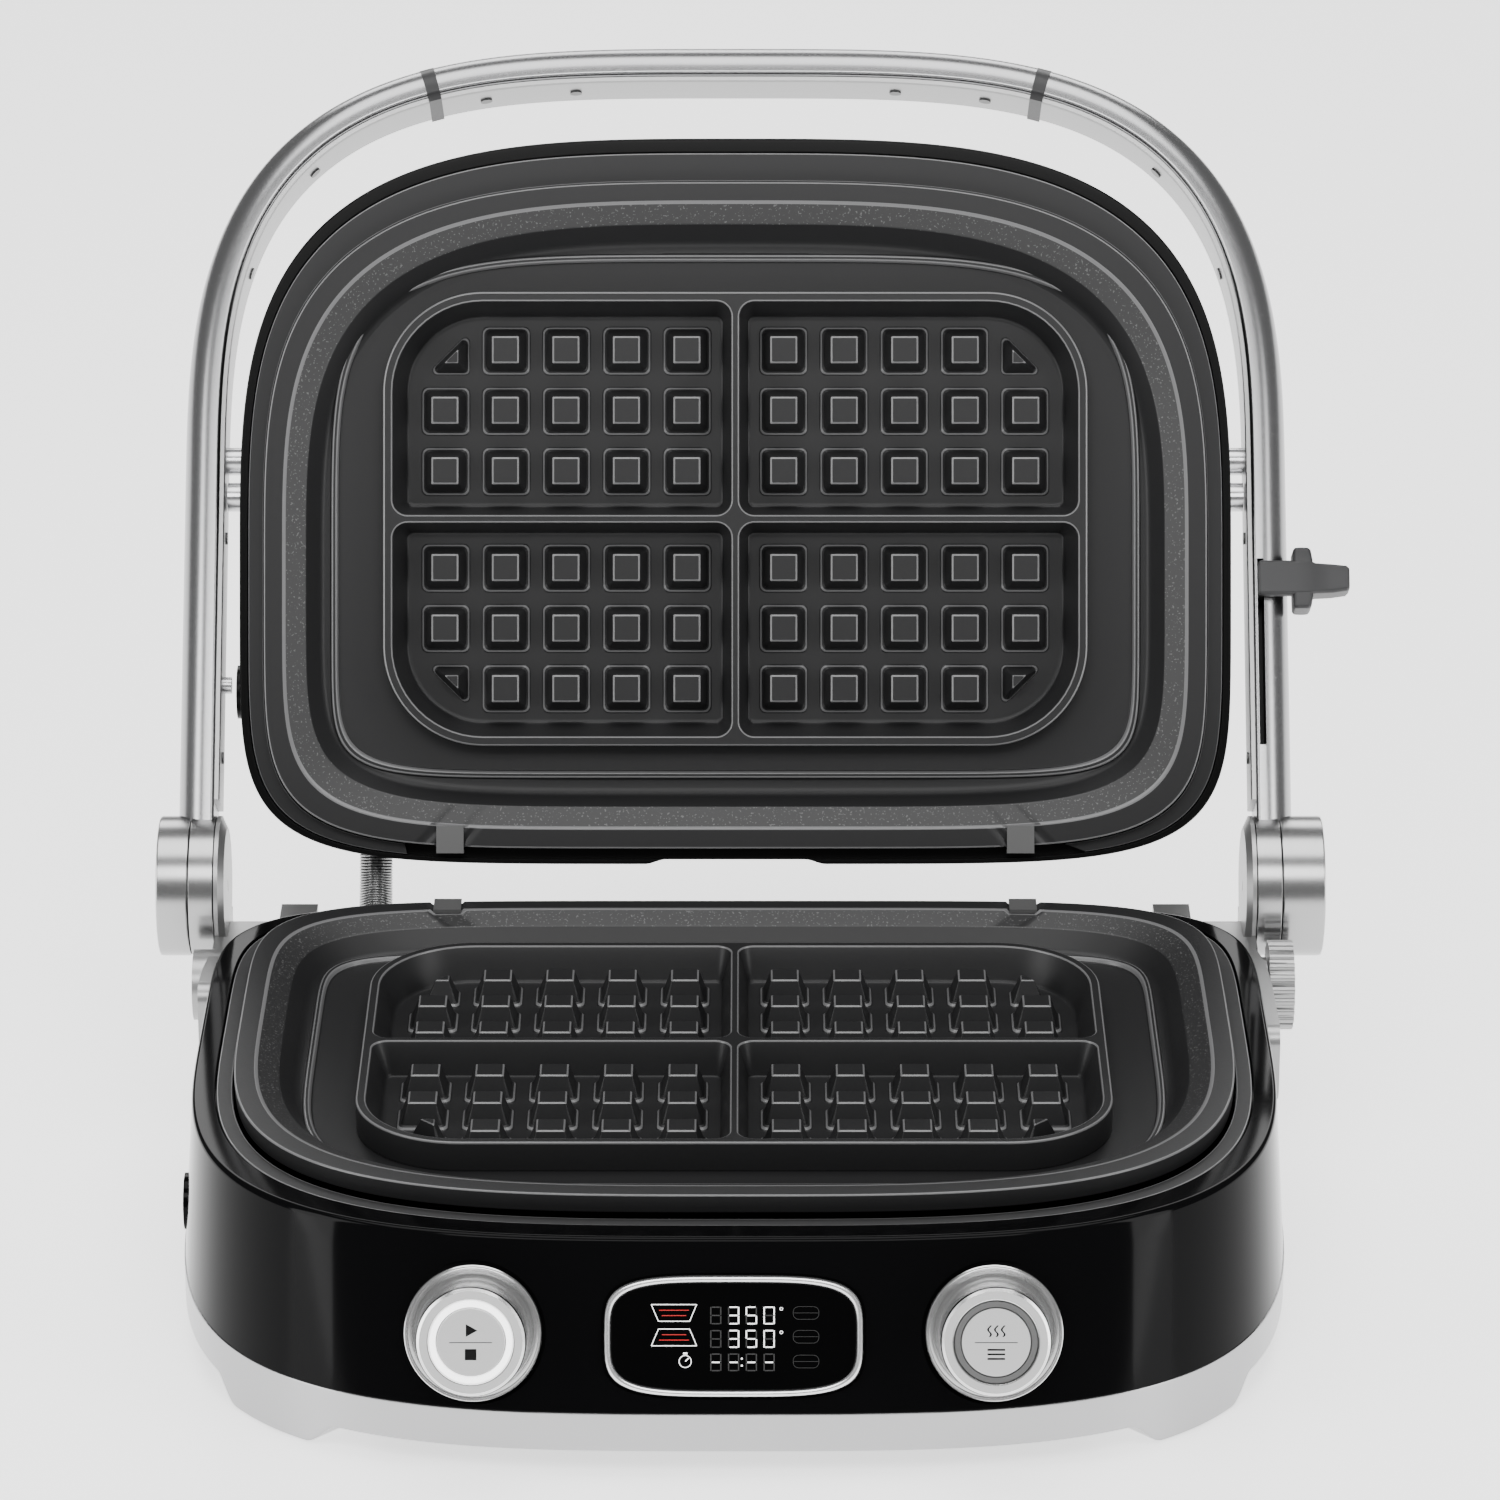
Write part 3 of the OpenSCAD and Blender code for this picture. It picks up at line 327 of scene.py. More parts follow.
BEVELS = {
    "hinge_bracket_left": 0.9, "hinge_bracket_right": 0.9, "height_lever": 1.3, "release_lever": 0.4,
    "lower_clips": 0.3, "upper_clips": 0.3, "pivot_pins": 0.4, "stop_pins": 0.4, "guide_stud": 0.3,
    "strip_screws": 0.2, "conduit_gland_base": 0.4, "conduit_gland_lid": 0.4, "cord_inlet": 0.5,
    "lower_release_button": 0.6, "upper_release_button": 0.5, "bottom_cover": 0.4, "foot_pads": 0.4,
}

# ------------ mesh helpers


def show(name, data):
    """Makes an object of a mesh, curve, light or camera and puts it in the scene."""
    obj = bpy.data.objects.new(name, data)
    bpy.context.scene.collection.objects.link(obj)
    return obj


def smooth(obj, angle=32):
    """Smooth shading, with sharp edges kept where faces meet at more than angle degrees."""
    for other in bpy.context.selected_objects:
        other.select_set(False)
    obj.select_set(True)
    bpy.context.view_layer.objects.active = obj
    bpy.ops.object.shade_smooth_by_angle(angle=math.radians(angle))
    obj.select_set(False)


def mesh_object(name, points, faces, materials, slots=None, turn=None, angle=32):
    """points in millimetres, turned by the matrix turn, become a mesh in metres."""
    mesh = bpy.data.meshes.new(name)
    mesh.from_pydata([tuple(p) for p in points], [], faces)
    if turn is not None:
        mesh.transform(turn)
    mesh.transform(Matrix.Scale(MM, 4))
    for mat in materials:
        mesh.materials.append(mat)
    if slots is not None:
        mesh.polygons.foreach_set("material_index", slots)
    mesh.validate()
    tidy = bmesh.new()
    tidy.from_mesh(mesh)
    bmesh.ops.recalc_face_normals(tidy, faces=tidy.faces)
    tidy.to_mesh(mesh)
    tidy.free()
    obj = show(name, mesh)
    smooth(obj, angle)
    return obj


def join(name, objects):
    """Makes several objects one mesh with this name."""
    for other in bpy.context.selected_objects:
        other.select_set(False)
    for obj in objects:
        obj.select_set(True)
    bpy.context.view_layer.objects.active = objects[0]
    bpy.ops.object.join()
    objects[0].name = name
    objects[0].data.name = name
    return objects[0]


def piece(obj, body, slot, *replaced):
    """Puts a finished piece on its body and in place of CAD nodes. Its slot argument is not used."""
    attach(obj, body)
    if replaced:
        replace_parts(obj, *replaced)
    even_shading(obj)
    return obj


def even_shading(obj):
    """Lets large faces set the shading, so that a small bevel beside them doesn't bend their highlights."""
    normals = obj.modifiers.new("normals", "WEIGHTED_NORMAL")
    normals.keep_sharp = True
    normals.weight = 60


def loft(name, loops, materials, rows=None, closed=True, cap_first=False, cap_last=False,
         turn=None, angle=32):
    """Joins loops of equal length with quads. rows gives a material number for each row of quads."""
    count, width = len(loops), len(loops[0])
    points = [p for loop in loops for p in loop]
    faces, slots = [], []
    for i in range(count - 1):
        for k in range(width if closed else width - 1):
            n = (k + 1) % width
            faces.append((i * width + k, i * width + n, (i + 1) * width + n, (i + 1) * width + k))
            slots.append(rows[i] if rows else 0)
    if cap_first:
        faces.append(tuple(range(width)))
        slots.append(0)
    if cap_last:
        faces.append(tuple((count - 1) * width + k for k in range(width)))
        slots.append(0)
    return mesh_object(name, points, faces, materials, slots, turn, angle)


def lathe(name, profile, materials, turn, rows=None, steps=96, angle=30):
    """Turns a profile of (radius, height) about z; ends at radius 0 are closed with a fan."""
    loops = []
    for radius, height in profile:
        r = max(radius, 0.001)
        loops.append([(r * math.cos(t), r * math.sin(t), height) for t in turns(steps)])
    return loft(name, loops, materials, rows, turn=turn, angle=angle)


def turns(steps):
    """Angles of a full circle in equal steps."""
    return [2 * math.pi * i / steps for i in range(steps)]


def soften(stations, radius, cuts=3):
    """Rounds each inner corner of a list of stations. A station is a tuple whose last number is z. radius is
    one number, or a list with one for each station."""
    radii = radius if isinstance(radius, list) else [radius] * len(stations)
    out = [tuple(stations[0])]
    for before, at, after, r in zip(stations, stations[1:], stations[2:], radii[1:]):
        a, v, b = (np.array(s, float) for s in (before, at, after))
        if r <= 0:
            out.append(tuple(v))
            continue
        to_a, to_b = a - v, b - v
        la = max(math.hypot(to_a[0], to_a[-1]), abs(to_a[1]), 1e-6)
        lb = max(math.hypot(to_b[0], to_b[-1]), abs(to_b[1]), 1e-6)
        p = v + to_a * min(0.45, r / la)
        q = v + to_b * min(0.45, r / lb)
        for i in range(cuts + 1):
            t = i / cuts
            out.append(tuple(p * (1 - t) ** 2 + v * 2 * t * (1 - t) + q * t * t))
    out.append(tuple(stations[-1]))
    return out


def bend(value, power):
    """A sine or cosine, turned into that of a rounder or squarer outline."""
    return math.copysign(abs(value) ** (2 / power), value)


def plan(a, f, r, z, count=STEPS, squarer=False):
    """A loop of the plan outline: half width a, front depth f and rear depth r, at height z."""
    front, rear = RIDGE_POWERS if squarer else (FRONT_POWER, REAR_POWER)
    dense = []
    for t in turns(count * 4):
        power, depth = (front, f) if math.sin(t) < 0 else (rear, r)
        reach = (abs(math.cos(t) / a) ** power + abs(math.sin(t) / depth) ** power) ** (-1 / power)
        dense.append((reach * math.cos(t), PLAN_Y + reach * math.sin(t)))
    return even(dense, z, count)


def even(dense, z, count=STEPS):
    """Resamples a closed outline at even turns about the origin."""
    xy = np.array(dense)
    turn = np.arctan2(xy[:, 1], xy[:, 0]) % (2 * np.pi)
    order = np.argsort(turn)
    want = np.array(turns(count)) + 1e-6
    radius = np.interp(want, turn[order], np.hypot(xy[:, 0], xy[:, 1])[order], period=2 * np.pi)
    return [(r * math.cos(t), r * math.sin(t), z) for r, t in zip(radius, want)]


def rounded(corners, radii, cuts=6):
    """A polygon's outline with each corner rounded by an arc of the same number of points."""
    out = []
    n = len(corners)
    for i in range(n):
        a, v, b = (Vector(corners[(i + k) % n]) for k in (-1, 0, 1))
        to_a, to_b = (a - v).normalized(), (b - v).normalized()
        half = to_a.angle(to_b) / 2
        back = radii[i] / math.tan(half)
        centre = v + (to_a + to_b).normalized() * (radii[i] / math.sin(half))
        start, end = v + to_a * back - centre, v + to_b * back - centre
        t0 = math.atan2(start.y, start.x)
        t1 = math.atan2(end.y, end.x)
        span = (t1 - t0 + math.pi) % (2 * math.pi) - math.pi
        for k in range(cuts + 1):
            t = t0 + span * k / cuts
            out.append((centre.x + radii[i] * math.cos(t), centre.y + radii[i] * math.sin(t)))
    return out


def solid(name, loops, materials, turn=None, angle=32):
    """A loft that is closed at both ends."""
    return loft(name, loops, materials, cap_first=True, cap_last=True, turn=turn, angle=angle)


def box_corners(x0, y0, x1, y1):
    return [(x0, y0), (x1, y0), (x1, y1), (x0, y1)]


def squircle(w, h, power, z, count=96):
    """A loop w wide and h high, between an ellipse and a rectangle."""
    return [(w / 2 * bend(math.cos(t), power), h / 2 * bend(math.sin(t), power), z) for t in turns(count)]


def around(outline, inset, z):
    """A station: an outline pulled in by inset, at height z."""
    return tuple(v - inset for v in outline) + (z,)


def cut(obj, cutter, keep_finish=False):
    """Cuts a closed tool shape out of a piece. With keep_finish, the cut faces have the tool's finish."""
    step = obj.modifiers.new("cut", "BOOLEAN")
    step.operation = "DIFFERENCE"
    step.solver = "EXACT"
    step.object = cutter
    if keep_finish:
        step.material_mode = "TRANSFER"
    bpy.context.view_layer.update()
    shown = obj.evaluated_get(bpy.context.evaluated_depsgraph_get())
    mesh = bpy.data.meshes.new_from_object(shown)
    obj.modifiers.remove(step)
    obj.data = mesh
    bpy.data.objects.remove(cutter)
    smooth(obj, 30)
    return obj


# ------------ base


def base_wall():
    """The glossy black wall, with the seat of the grey ring, and openings for the knobs and the display."""
    wall_low = BAND_TOP + 0.01
    stations = soften([
        around(BASE, 3, wall_low),
        around(BASE, 0.3, wall_low),
        around(RIM, 0, RIM_Z),
        around(RING, -0.4, RIM_Z),
        around(RING, -0.3, RING_LOW),
        around(RING, SEAT_IN, RING_LOW),
        around(RING, SEAT_IN, RING_LOW - SEAT_STEP),
        around(RIM, WALL, RING_LOW - SEAT_STEP),
        around(BASE, WALL, wall_low),
    ], [0, 0.3, 1.6, 0.4, 0, 0.3, 0, 0, 0], 4)
    loops = [plan(*s) for s in split_tall(stations)]
    wall = loft("base_wall", loops + [loops[0]], [GLOSS_BLACK])
    weld(wall)
    for side in (-1, 1):
        seat = on_panel(side * KNOB_X, KNOB_DROP)
        cutter = lathe("cutter", [(0, SEAT), (SEAT_R, SEAT), (SEAT_R, 12), (0, 12)], [GLOSS_BLACK], seat)
        weld(cutter)
        cut(wall, cutter)
    panel = on_panel(0, DISPLAY_DROP)
    cut(wall, solid("cutter", [display_loop(-0.8, -1.7), display_loop(-1.8, 12)], [GLOSS_BLACK], panel))
    return piece(wall, "base", "gloss_black", "base_housing")


def display_loop(inset, z):
    """The display's outline, pulled in by inset, at height z over the panel."""
    return squircle(DISPLAY_W - 2 * inset, DISPLAY_H - 2 * inset, DISPLAY_POWER, z)


def split_tall(stations, longest=6.0):
    """Adds stations where the height or inset changes by more than longest, so that walls curve evenly."""
    out = [stations[0]]
    for a, b in zip(stations, stations[1:]):
        length = max(abs(a[0] - b[0]), abs(a[-1] - b[-1]))
        parts = max(1, int(length / longest))
        out += [tuple(p + (q - p) * k / parts for p, q in zip(a, b)) for k in range(1, parts + 1)]
    return out


def weld(obj):
    """Joins the points that lie on each other, so that the piece is closed."""
    tidy = bmesh.new()
    tidy.from_mesh(obj.data)
    bmesh.ops.remove_doubles(tidy, verts=tidy.verts, dist=0.00001)
    bmesh.ops.recalc_face_normals(tidy, faces=tidy.faces)
    tidy.to_mesh(obj.data)
    tidy.free()
    smooth(obj, 30)


def foot_height(x, y):
    """Height of the band's lower edge: down at the feet, up between them."""
    def climb(v, edge):
        return min(1.0, max(0.0, (edge - v) / FOOT_CLIMB))
    across = climb(abs(x), FOOT_X)
    along = min(climb(y, FOOT_Y_REAR), climb(-y, FOOT_Y_FRONT))
    return FOOT_LOW + (BAND_LOW - FOOT_LOW) * ease(max(across, along))


def ease(share):
    """0 to 1 with soft ends."""
    return share * share * (3 - 2 * share)


def base_band():
    """The silver band: its top edge, its outside down to the feet, and its underside."""
    loops = []
    for inset, drop in ((3, 0), (1.0, 0), (0.35, 0), (0.1, 0.1), (0, 0.35), (0, 1.2)):
        loops.append(plan(*around(BASE, inset, BAND_TOP - drop)))
    outer = plan(*around(BASE, 0, 0))
    feet = [foot_height(x, y) for x, y, z in outer]
    top = BAND_TOP - 1.2
    for share in (0.25, 0.5, 0.75, 0.95):
        loops.append([(x, y, top + (low + 0.6 - top) * share) for (x, y, z), low in zip(outer, feet)])
    for inset, lift in ((0, 0.6), (0.18, 0.18), (0.6, 0), (3.0, 0), (15.5, 0)):
        ring = plan(*around(BASE, inset, 0))
        loops.append([(x, y, low + lift) for (x, y, z), low in zip(ring, feet)])
    loops.append([(x, y, BAND_LOW + 0.01) for x, y, z in loops[-1]])
    return piece(loft("band", loops, [SILVER]), "base", "silver_paint", "base_band")


# ------------ plates


def plate_mesh(name, turn, body, node):
    """The whole waffle plate, mould upwards at z = 0, then turned into place."""
    mid = FLOOR_Z
    stations = [
        around(PLATE, 8, -6.0),
        around(PLATE, 0.2, -6.0),
        around(PLATE, 0, 0.0),
        around(PLATE, 6.7, 0.0),
        around(PLATE, 13.7, -3.2),
        (PLATE_W - 19.0, PLATE_FRONT - 20.0, PLATE_REAR - 18.0, mid),
        (RIDGE_OUT, 101.5, 72.7, mid),
        (133.7, 100.9, 72.1, mid + RIDGE_H),
        (132.1, 99.3, 70.5, mid + RIDGE_H),
        (131.4, 98.6, 69.8, mid),
    ]
    radii = [0, 0.4, 0.5, 0.6, 0.5, 2.0, 0.4, 0.45, 0.45, 0.4]
    soft = soften(stations + [(125.0, 92.0, 66.0, mid)], radii + [0], 3)
    outlines = [clip_notches(plan(*s, squarer=s[0] < RIDGE_OUT + 0.1 and s[3] < mid + 2)) for s in soft]
    mould = [(0.4, mid + 0.02), (0.0, mid + 0.5), (-0.05, mid + 5), (0.0, -0.6), (0.18, -0.18), (0.6, 0.0)]
    outlines += [mould_outline(inset, z) for inset, z in mould]
    # rows marked 1 get the painted edge highlight: the lip's rounded edge, the ridge's top and the mould rim's
    # rounding
    rows = [0] * (len(outlines) - 1)
    for i, (a, b) in enumerate(zip(soft, soft[1:])):
        lip_highlight = a[3] > -0.55 and b[3] > -0.55 and abs(a[0] - b[0]) < 1.0
        ridge_highlight = a[3] > mid + 0.6 and a[3] < mid + 2 and a[0] < 136 and abs(a[0] - b[0]) < 0.4
        if lip_highlight or ridge_highlight:
            rows[i] = 1
        elif PLATE_W - 13.9 < (a[0] + b[0]) / 2 < PLATE_W - 6.9 and a[3] > -3.4:
            rows[i] = 2
    rows[-1] = rows[-2] = 1
    tray = loft(name + "_tray", outlines, COATED, rows, angle=40)
    parts = [tray, mould_top(name), *pockets(name), *pegs(name)]
    whole = join(name, parts)
    whole.data.transform(Matrix.Scale(MM, 4) @ turn @ Matrix.Scale(1 / MM, 4))
    if turn.determinant() < 0:
        whole.data.flip_normals()
    smooth(whole, 40)
    return piece(whole, body, "nonstick", node)


def mould_outline(inset, z):
    """The outside of the mould's rim, pulled in by inset, at height z."""
    w, d, r = MOULD_W / 2 - inset, MOULD_D / 2 - inset, MOULD_R - inset
    return even(densify(rounded(box_corners(-w, -d, w, d), [r] * 4, 24)), z)


def densify(outline):
    """Adds points along an outline, more of them on its long sides."""
    out = []
    for (x0, y0), (x1, y1) in zip(outline, outline[1:] + outline[:1]):
        n = 60 if math.hypot(x1 - x0, y1 - y0) > 5 else 6
        out += [(x0 + (x1 - x0) * k / n, y0 + (y1 - y0) * k / n) for k in range(n)]
    return out


def clip_notches(loop):
    """Sinks the plate's rear lip where the two clips sit."""
    out = []
    for x, y, z in loop:
        if z > 0.2 - CLIP_SINK and y > 90 and abs(abs(x) - CLIP_X) < CLIP_HALF:
            z = -CLIP_SINK
        out.append((x, y, z))
    return out


QUAD_TOP = (1.3, 1.3, 113.2, 71.8)
QUAD_FOOT = (4.3, 4.3, 108.8, 67.4)


def quadrant(share, z, grow=0.0):
    """Outline of one pocket: 0 at the top edge, 1 at the foot of its walls."""
    x0, y0, x1, y1 = (t + (f - t) * share for t, f in zip(QUAD_TOP, QUAD_FOOT))
    outer = MOULD_R - 3.1 - 4.4 * share + grow
    inner = 5.0 - 3.0 * share + grow
    corners = box_corners(x0 - grow, y0 - grow, x1 + grow, y1 + grow)
    return [(x, y, z) for x, y in rounded(corners, [inner, inner, outer, inner], 14)]


def mould_top(name):
    """The flat top of the mould's rim and dividers, with the four pockets open."""
    curve = bpy.data.curves.new(name + "_top", "CURVE")
    curve.dimensions = "2D"
    curve.fill_mode = "BOTH"
    outlines = [mould_outline(0.6, 0)]
    for sx, sy in product((-1, 1), repeat=2):
        outlines.append([(sx * x, sy * y, 0) for x, y, z in quadrant(0, 0, 0.5)])
    for points in outlines:
        spline = curve.splines.new("POLY")
        spline.points.add(len(points) - 1)
        spline.points.foreach_set("co", [c for x, y, z in points for c in (x, y, 0, 1)])
        spline.use_cyclic_u = True
    source = show(name + "_top", curve)
    bpy.context.view_layer.update()
    mesh = bpy.data.meshes.new_from_object(source.evaluated_get(bpy.context.evaluated_depsgraph_get()))
    bpy.data.objects.remove(source)
    mesh.transform(Matrix.Scale(MM, 4))
    mesh.materials.clear()
    for mat in COATED:
        mesh.materials.append(mat)
    return show(name + "_top", mesh)


def pockets(name):
    """The walls and floors of the four pockets."""
    out = []
    steps = [(0, 0.0, 0.5), (0, -0.12, 0.18), (0.0, -0.45, 0.0)]
    for share in (0.2, 0.45, 0.7, 0.9):
        steps.append((share, POCKET_Z * share, 0.0))
    steps += [(0.98, POCKET_Z * 0.97, 0.0), (1.0, POCKET_Z, -0.5), (1.0, POCKET_Z, -1.5)]
    # painted edge highlight on the two top rows, the pocket's rounded top edge
    rows = [1, 1] + [0] * (len(steps) - 3)
    for sx, sy in product((-1, 1), repeat=2):
        loops = [[(sx * x, sy * y, zz) for x, y, zz in quadrant(s, z, g)] for s, z, g in steps]
        out.append(loft(name + "_pocket", loops, COATED, rows, cap_last=True, angle=40))
    return out


def pegs(name):
    """Five by three pegs in each pocket; the one in the plate's corner has three sides."""
    out = []
    steps = ((-0.3, -0.6), (0.25, 0.0), (0.9, 0.25), (1.3, 0.62), (PEG_H - 0.35, 0.0), (PEG_H, 0.4))
    b, t = PEG_BASE / 2, PEG_TOP / 2
    square = [(-1, -1), (1, -1), (1, 1), (-1, 1)]
    leg, top_leg = PEG_BASE - 1.4, 4.3
    full = [[(x * b, y * b) for x, y in square], [(x * t, y * t) for x, y in square]]
    corner = [[(-b, -b), (leg - b, -b), (-b, leg - b)], [(-t, -t), (top_leg - t, -t), (-t, top_leg - t)]]
    for sx, sy, i, j in product((-1, 1), (-1, 1), range(5), range(3)):
        base, top = corner if (i, j) == (4, 2) else full
        cx, cy = PEG_FIRST + PEG_PITCH * i, PEG_FIRST + PEG_PITCH * j
        loops = []
        for z, inset in steps:
            foot = frustum_loop(base, top, z, inset)
            loops.append([(sx * (cx + x), sy * (cy + y), POCKET_Z + z) for x, y in foot])
        # painted edge highlight on the row at each peg's foot and on the cap's bevel
        out.append(loft(name + "_peg", loops, COATED, [0, 1, 0, 0, 1], cap_last=True, angle=28))
    return out


def frustum_loop(base, top, z, inset):
    """Outline of a peg at height z, pulled in by inset, its corners rounder at the foot than at the top."""
    share = max(0.0, min(1.0, z / PEG_H))
    shape = [(p[0] + (q[0] - p[0]) * share, p[1] + (q[1] - p[1]) * share) for p, q in zip(base, top)]
    mid_x = sum(p[0] for p in shape) / len(shape)
    mid_y = sum(p[1] for p in shape) / len(shape)
    size = max(abs(p[0] - mid_x) for p in shape)
    shrink = 1 - inset / size
    shape = [(mid_x + (x - mid_x) * shrink, mid_y + (y - mid_y) * shrink) for x, y in shape]
    radius = max(0.35, 2.2 * (1 - share * 1.3))
    if len(base) == 3:
        radius = max(0.25, 1.5 * (1 - share))
    return rounded(shape, [radius] * len(shape), 4)


def part_ring(name, body, top, low, inner, turn, node):
    """The grey ring round a plate, open at the back."""
    stations = [(*inner, low), (*inner, top), (*RING, top), (*RING, low)]
    rear = 60
    loops = []
    for s in soften(stations, [0, 0.45, 0.45, 0], 3):
        kept = [p for p in plan(*s) if p[1] <= rear or abs(p[0]) >= RING_END_X]
        start = next(i for i, p in enumerate(kept) if p[1] > rear and p[0] < 0)
        loops.append(kept[start:] + kept[:start])
    count = min(len(l) for l in loops)
    loops = [l[:count] for l in loops]
    # painted edge highlight on the ring's two rounded edges
    rows = [0, 1, 1, 1, 0, 1, 1, 1, 0]
    ring = loft(name, loops, [RING_GREY, EDGE_HIGHLIGHT], rows, closed=False, turn=turn)
    return piece(ring, body, "ring_grey", node)


# ------------ lid


def lid_shell():
    """The lid's black rim, with the seat of its grey ring."""
    stations = soften([
        around(RING, SEAT_IN, LID_RIM_Z + RING_H + SEAT_STEP),
        around(RING, SEAT_IN, LID_RIM_Z + RING_H),
        around(RING, -0.2, LID_RIM_Z + RING_H),
        around(RING, -0.3, LID_RIM_Z),
        around(LID, 0, LID_RIM_Z),
        around(LID, 0, LID_TOP_Z),
        around(LID, 3, LID_TOP_Z),
    ], [0, 0, 0, 0.3, 1.0, 0.5, 0], 4)
    loops = [[lid_notch(*p) for p in plan(*s)] for s in split_tall(stations)]
    shell = loft("lid_shell", loops, [SATIN_BLACK], turn=opened())
    return piece(shell, "lid", "satin_black", "lid_rim")


def lid_notch(x, y, z):
    """The shallow notch in the middle of the lid's rear edge, with soft ends."""
    share = min(1.0, max(0.0, (NOTCH_HALF - abs(x)) / NOTCH_SLOPE))
    return x, min(y, PLAN_Y + LID_REAR - NOTCH_DEPTH * ease(share)), z


def lid_bosses():
    """The round seats that the pivot and stop pins stand on."""
    out = []
    lean = math.radians(BOW_LEAN)
    for side, (reach, radius) in product((-1, 1), PIN_SEATS):
        y, z = HINGE.y - reach * math.cos(lean), HINGE.z + reach * math.sin(lean)
        across = Matrix.Translation((side * (LID_W - 8), y, z)) @ Matrix.Rotation(side * math.pi / 2, 4, "Y")
        profile = [(0, 0), (radius, 0), (radius, PIN_SEAT_H), (0, PIN_SEAT_H)]
        out.append(lathe("boss", profile, [SATIN_BLACK], opened() @ across))
    return piece(join("lid_pin_seats", out), "lid", "satin_black")


def lid_cover():
    """The lid's metal back, with soft edges."""
    stations = soften([
        around(LID, 2.0, LID_TOP_Z),
        around(LID, 0.4, LID_TOP_Z),
        around(LID, 1.2, LID_TOP_Z + 3.0),
        around(LID, 16, LID_BACK_Z),
        around(LID, 60, LID_BACK_Z),
    ], [0, 0.3, 3.0, 8.0, 0], 8)
    loops = [[lid_notch(*p) for p in plan(*s)] for s in stations]
    cover = loft("lid_back", loops, [COVER], cap_last=True, turn=opened(), angle=50)
    return piece(cover, "lid", "brushed_cover", "lid_cover")


# ------------ handle


BOW_SIDE_POWER, BOW_FRONT_POWER = 3.65, 3.0
HUB_IN, HUB_OUT, CAP_IN = 170.6, 178.6, 178.75
TUBE_EDGE = 1.5


def bow_point(t):
    """A point of the bow's inner line: t is 0 where the arm starts to bend, 90 at the front."""
    c, s = math.cos(math.radians(t)), math.sin(math.radians(t))
    side = (BOW_W - TUBE_T) * bend(c, BOW_SIDE_POWER)
    return Vector((side, BOW_TURN_R + (BOW_REACH - BOW_TURN_R - TUBE_T) * bend(s, BOW_FRONT_POWER)))


def bow_dir(t):
    return (bow_point(t + 0.1) - bow_point(t - 0.1)).normalized()


def arm_path(start, end_t):
    """Points and directions along an arm: its straight part, then the bow up to end_t."""
    ahead = Vector((0, 1))
    straight = [(Vector((BOW_W - TUBE_T, start + (BOW_TURN_R - start) * i / 8)), ahead) for i in range(8)]
    return straight + span_path(0.6, end_t, 60)


def span_path(t0, t1, count):
    return [(bow_point(t), bow_dir(t)) for t in (t0 + (t1 - t0) * i / count for i in range(count + 1))]


def tube_section(grow=0.0):
    """The handle's section: a flat inner face and a domed outer one, as (outwards, across)."""
    half, edge = TUBE_D / 2, TUBE_EDGE
    inner = [(-grow, v) for v in np.linspace(-(half - edge), half - edge, 7)]
    corner = [(edge - (edge + grow) * math.cos(a), half - edge + (edge + grow) * math.sin(a))
              for a in np.radians((18, 36, 54, 72, 90))]
    dome = []
    for a in np.radians(np.arange(84, -90, -6)):
        out = edge + (TUBE_T - edge + grow) * math.cos(a) ** 0.78
        dome.append((out, (half + grow) * math.sin(a)))
    low = [(x, -y) for x, y in reversed(corner)]
    return inner + corner + dome + low


def strip_section():
    """The section of the strip that lies on the handle's inner face."""
    half, face = STRIP_D / 2, -STRIP_T
    return [(face, -half + 1), (face, half - 1), (face + 0.35, half - 0.25), (0.3, half),
            (0.3, -half), (face + 0.35, -half + 0.25)]


def along_bow(path, section, side=1):
    """Loops of a section set along the handle's line. side -1 mirrors them."""
    loops = []
    for at, d in path:
        loops.append([(side * (at.x + d.y * out), -(at.y - d.x * out), across) for out, across in section])
    return loops


def sweep(name, path, section, mat, side=1):
    return solid(name, along_bow(path, section, side), [mat], bow())


def barrel(name, x0, x1, side, mat, edge=0.5):
    """A disc of the hinge from x0 to x1, with softened edges, turned about the hinge axis."""
    r, soft = BARREL_R, edge * 0.3
    profile = [(0, x0), (r - edge, x0), (r - soft, x0 + soft), (r, x0 + edge)]
    profile += [(r, x1 - edge), (r - soft, x1 - soft), (r - edge, x1), (0, x1)]
    across = Matrix.Translation(HINGE) @ Matrix.Rotation(side * math.pi / 2, 4, "Y")
    return lathe(name, profile, [mat], across, steps=160)


